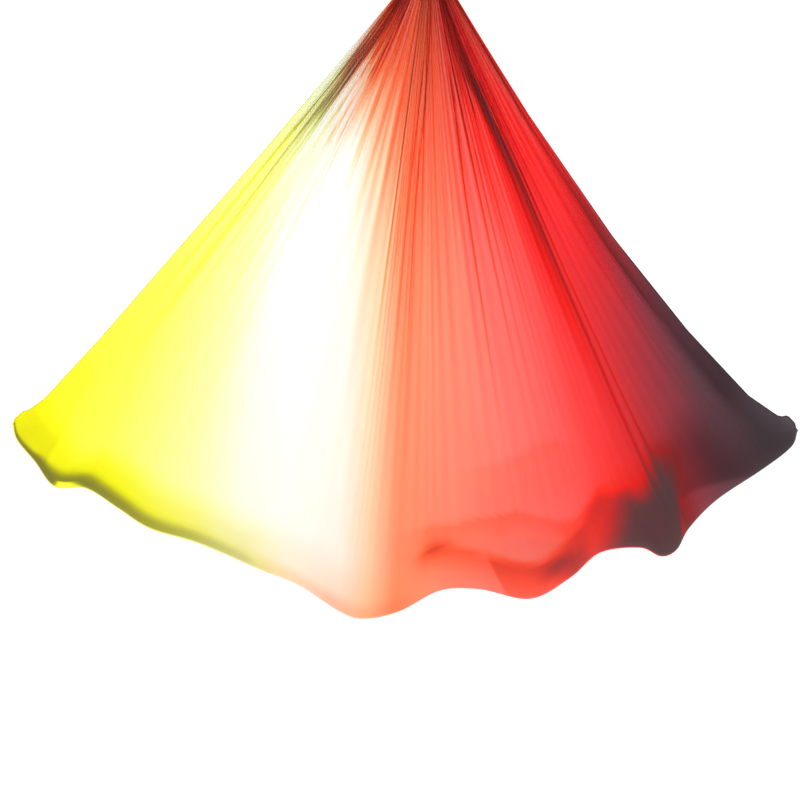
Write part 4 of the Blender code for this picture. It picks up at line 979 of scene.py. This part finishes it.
def finish_hardware():
    """Gives every node of the hanging gear its finish, and shows those in plain sight as finished copies."""
    # Zinc plate on forged steel: cool grey, faintly yellowed, with a soft blotchy gloss
    zinc_plate = metal("zinc_plated_steel", "#9c9ea1", "#87867e", (0.28, 0.46), (260, 260, 260), 0.00006)
    # Hardened and ground steel: darker, with fine turning marks round its length
    ground_steel = metal("ground_steel", "#7c7e82", "#66686c", (0.18, 0.36), (300, 300, 2200), 0.00002)
    # Polished aluminium: bright but softened by handling, with faint buffing lines along it
    polished = metal("polished_aluminium", "#b6b8bb", "#a6a9ad", (0.18, 0.32), (1400, 1400, 120), 0.00001)
    # Black anodised aluminium: satin near-black that greys where it is handled
    anodised = metal("black_anodised_aluminium", "#1d1e20", "#2f3033", (0.3, 0.44), (900, 900, 900), 0.00003)
    # Sintered bronze: warm brown, dull and slightly porous
    bronze = metal("sintered_bronze", "#a9743f", "#8a5a30", (0.34, 0.55), (1600, 1600, 1600), 0.00005)
    finishes = [
        (zinc_plate, ["ceiling_plate", "axle_bolt", "axle_nut", "front_carabiner", "back_carabiner"]),
        (ground_steel, [
            "clevis_pin", "pin_retaining_ring", "lower_race", "upper_race", *BALLS,
            "front_nose", "front_gate_pin", "back_nose", "back_gate_pin", *GATE_INSIDES,
        ]),
        (polished, ["bearing_cap", "swivel_bow", "front_gate", "back_gate"]),
        (anodised, ["swivel_housing", "front_sleeve", "back_sleeve"]),
        (bronze, ["pin_bush"]),
        (moulded_rubber(), ["dust_seal"]),
    ]
    record = frame["record"]
    body_of = {node: body for body, nodes in record["behaviour"]["bodies"].items() for node in nodes}
    for material, nodes in finishes:
        for node in nodes:
            for slot in frame["nodes"][node].material_slots:
                slot.material = material
            if node in SHUT_IN:
                continue
            piece = finished_copy(node, material)
            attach(piece, body_of[node])
            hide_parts(node)


def set_stage():
    """A plain pale floor."""
    corners = ((-1, -1), (1, -1), (1, 1), (-1, 1))
    mesh = bpy.data.meshes.new("pale_floor")
    mesh.from_pydata([(x * FLOOR_HALF, y * FLOOR_HALF, FLOOR_Z) for x, y in corners], [], [(0, 1, 2, 3)])
    material, tree = new_material("pale_floor")
    face = add(tree, "BsdfPrincipled", Base_Color=linear("#fafafa"), Roughness=0.9)
    add(tree, "OutputMaterial", [("Surface", face)])
    mesh.materials.append(material)
    floor = show("pale_floor", mesh)


def set_lights():
    """White light from all round, and three soft lamps: behind the cloth, behind the knot and overhead."""
    world = bpy.data.worlds.new("studio")
    bpy.context.scene.world = world
    world.use_nodes = True
    background = world.node_tree.nodes["Background"]
    background.inputs["Color"].default_value = (1, 1, 1, 1)
    background.inputs["Strength"].default_value = STUDIO_STRENGTH
    for name, place, target, size, power in LAMPS:
        lamp = bpy.data.lights.new(name, "AREA")
        lamp.shape = "RECTANGLE"
        lamp.size, lamp.size_y = size
        lamp.energy = power
        light = show(name, lamp)
        light.location = place
        light.rotation_euler = (Vector(target) - Vector(place)).to_track_quat("-Z", "Y").to_euler()


def set_camera():
    """Level, with the hanging point a little right of the middle, and its gear above the picture."""
    camera = bpy.data.cameras.new("camera")
    camera.lens = camera.sensor_width * CAMERA_DISTANCE / PICTURE_WIDTH
    view = show("camera", camera)
    view.location = (PICTURE_MIDDLE[0], -CAMERA_DISTANCE, PICTURE_MIDDLE[1])
    view.rotation_euler = (math.pi / 2, 0, 0)
    bpy.context.scene.camera = view


tricot = dyed_tricot()
cloth_at = column_places()
points, painted_shade = lay_cloth(cloth_at)
dye = dye_place(points)
cloth = grid_piece("hammock_sheet", points, dye, painted_shade, tricot, cloth_at * CLOTH_WIDTH)
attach(cloth, "hammock")
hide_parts("hammock_cloth")
tied = []
for label, end, y in (("front", 0, -CARABINER_OFFSET), ("back", -1, CARABINER_OFFSET)):
    order = np.argsort(points[end, :, 0])
    top_dye = dye[end][order][::6]
    wrap = make_end_wrap(label, y, top_dye, tricot)
    choke = make_choke(label, y, top_dye, tricot)
    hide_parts(f"{label}_end_wrap")
    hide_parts(f"{label}_choke")
    tied += [wrap, choke]
for label, column in (("left", 0), ("right", -1)):
    tied.append(make_hem(label, points[:, column], dye[:, column], tricot))
for piece in tied:
    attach(piece, "hammock")

finish_hardware()
set_stage()
set_lights()
set_camera()
bpy.context.scene.view_settings.view_transform = "Standard"
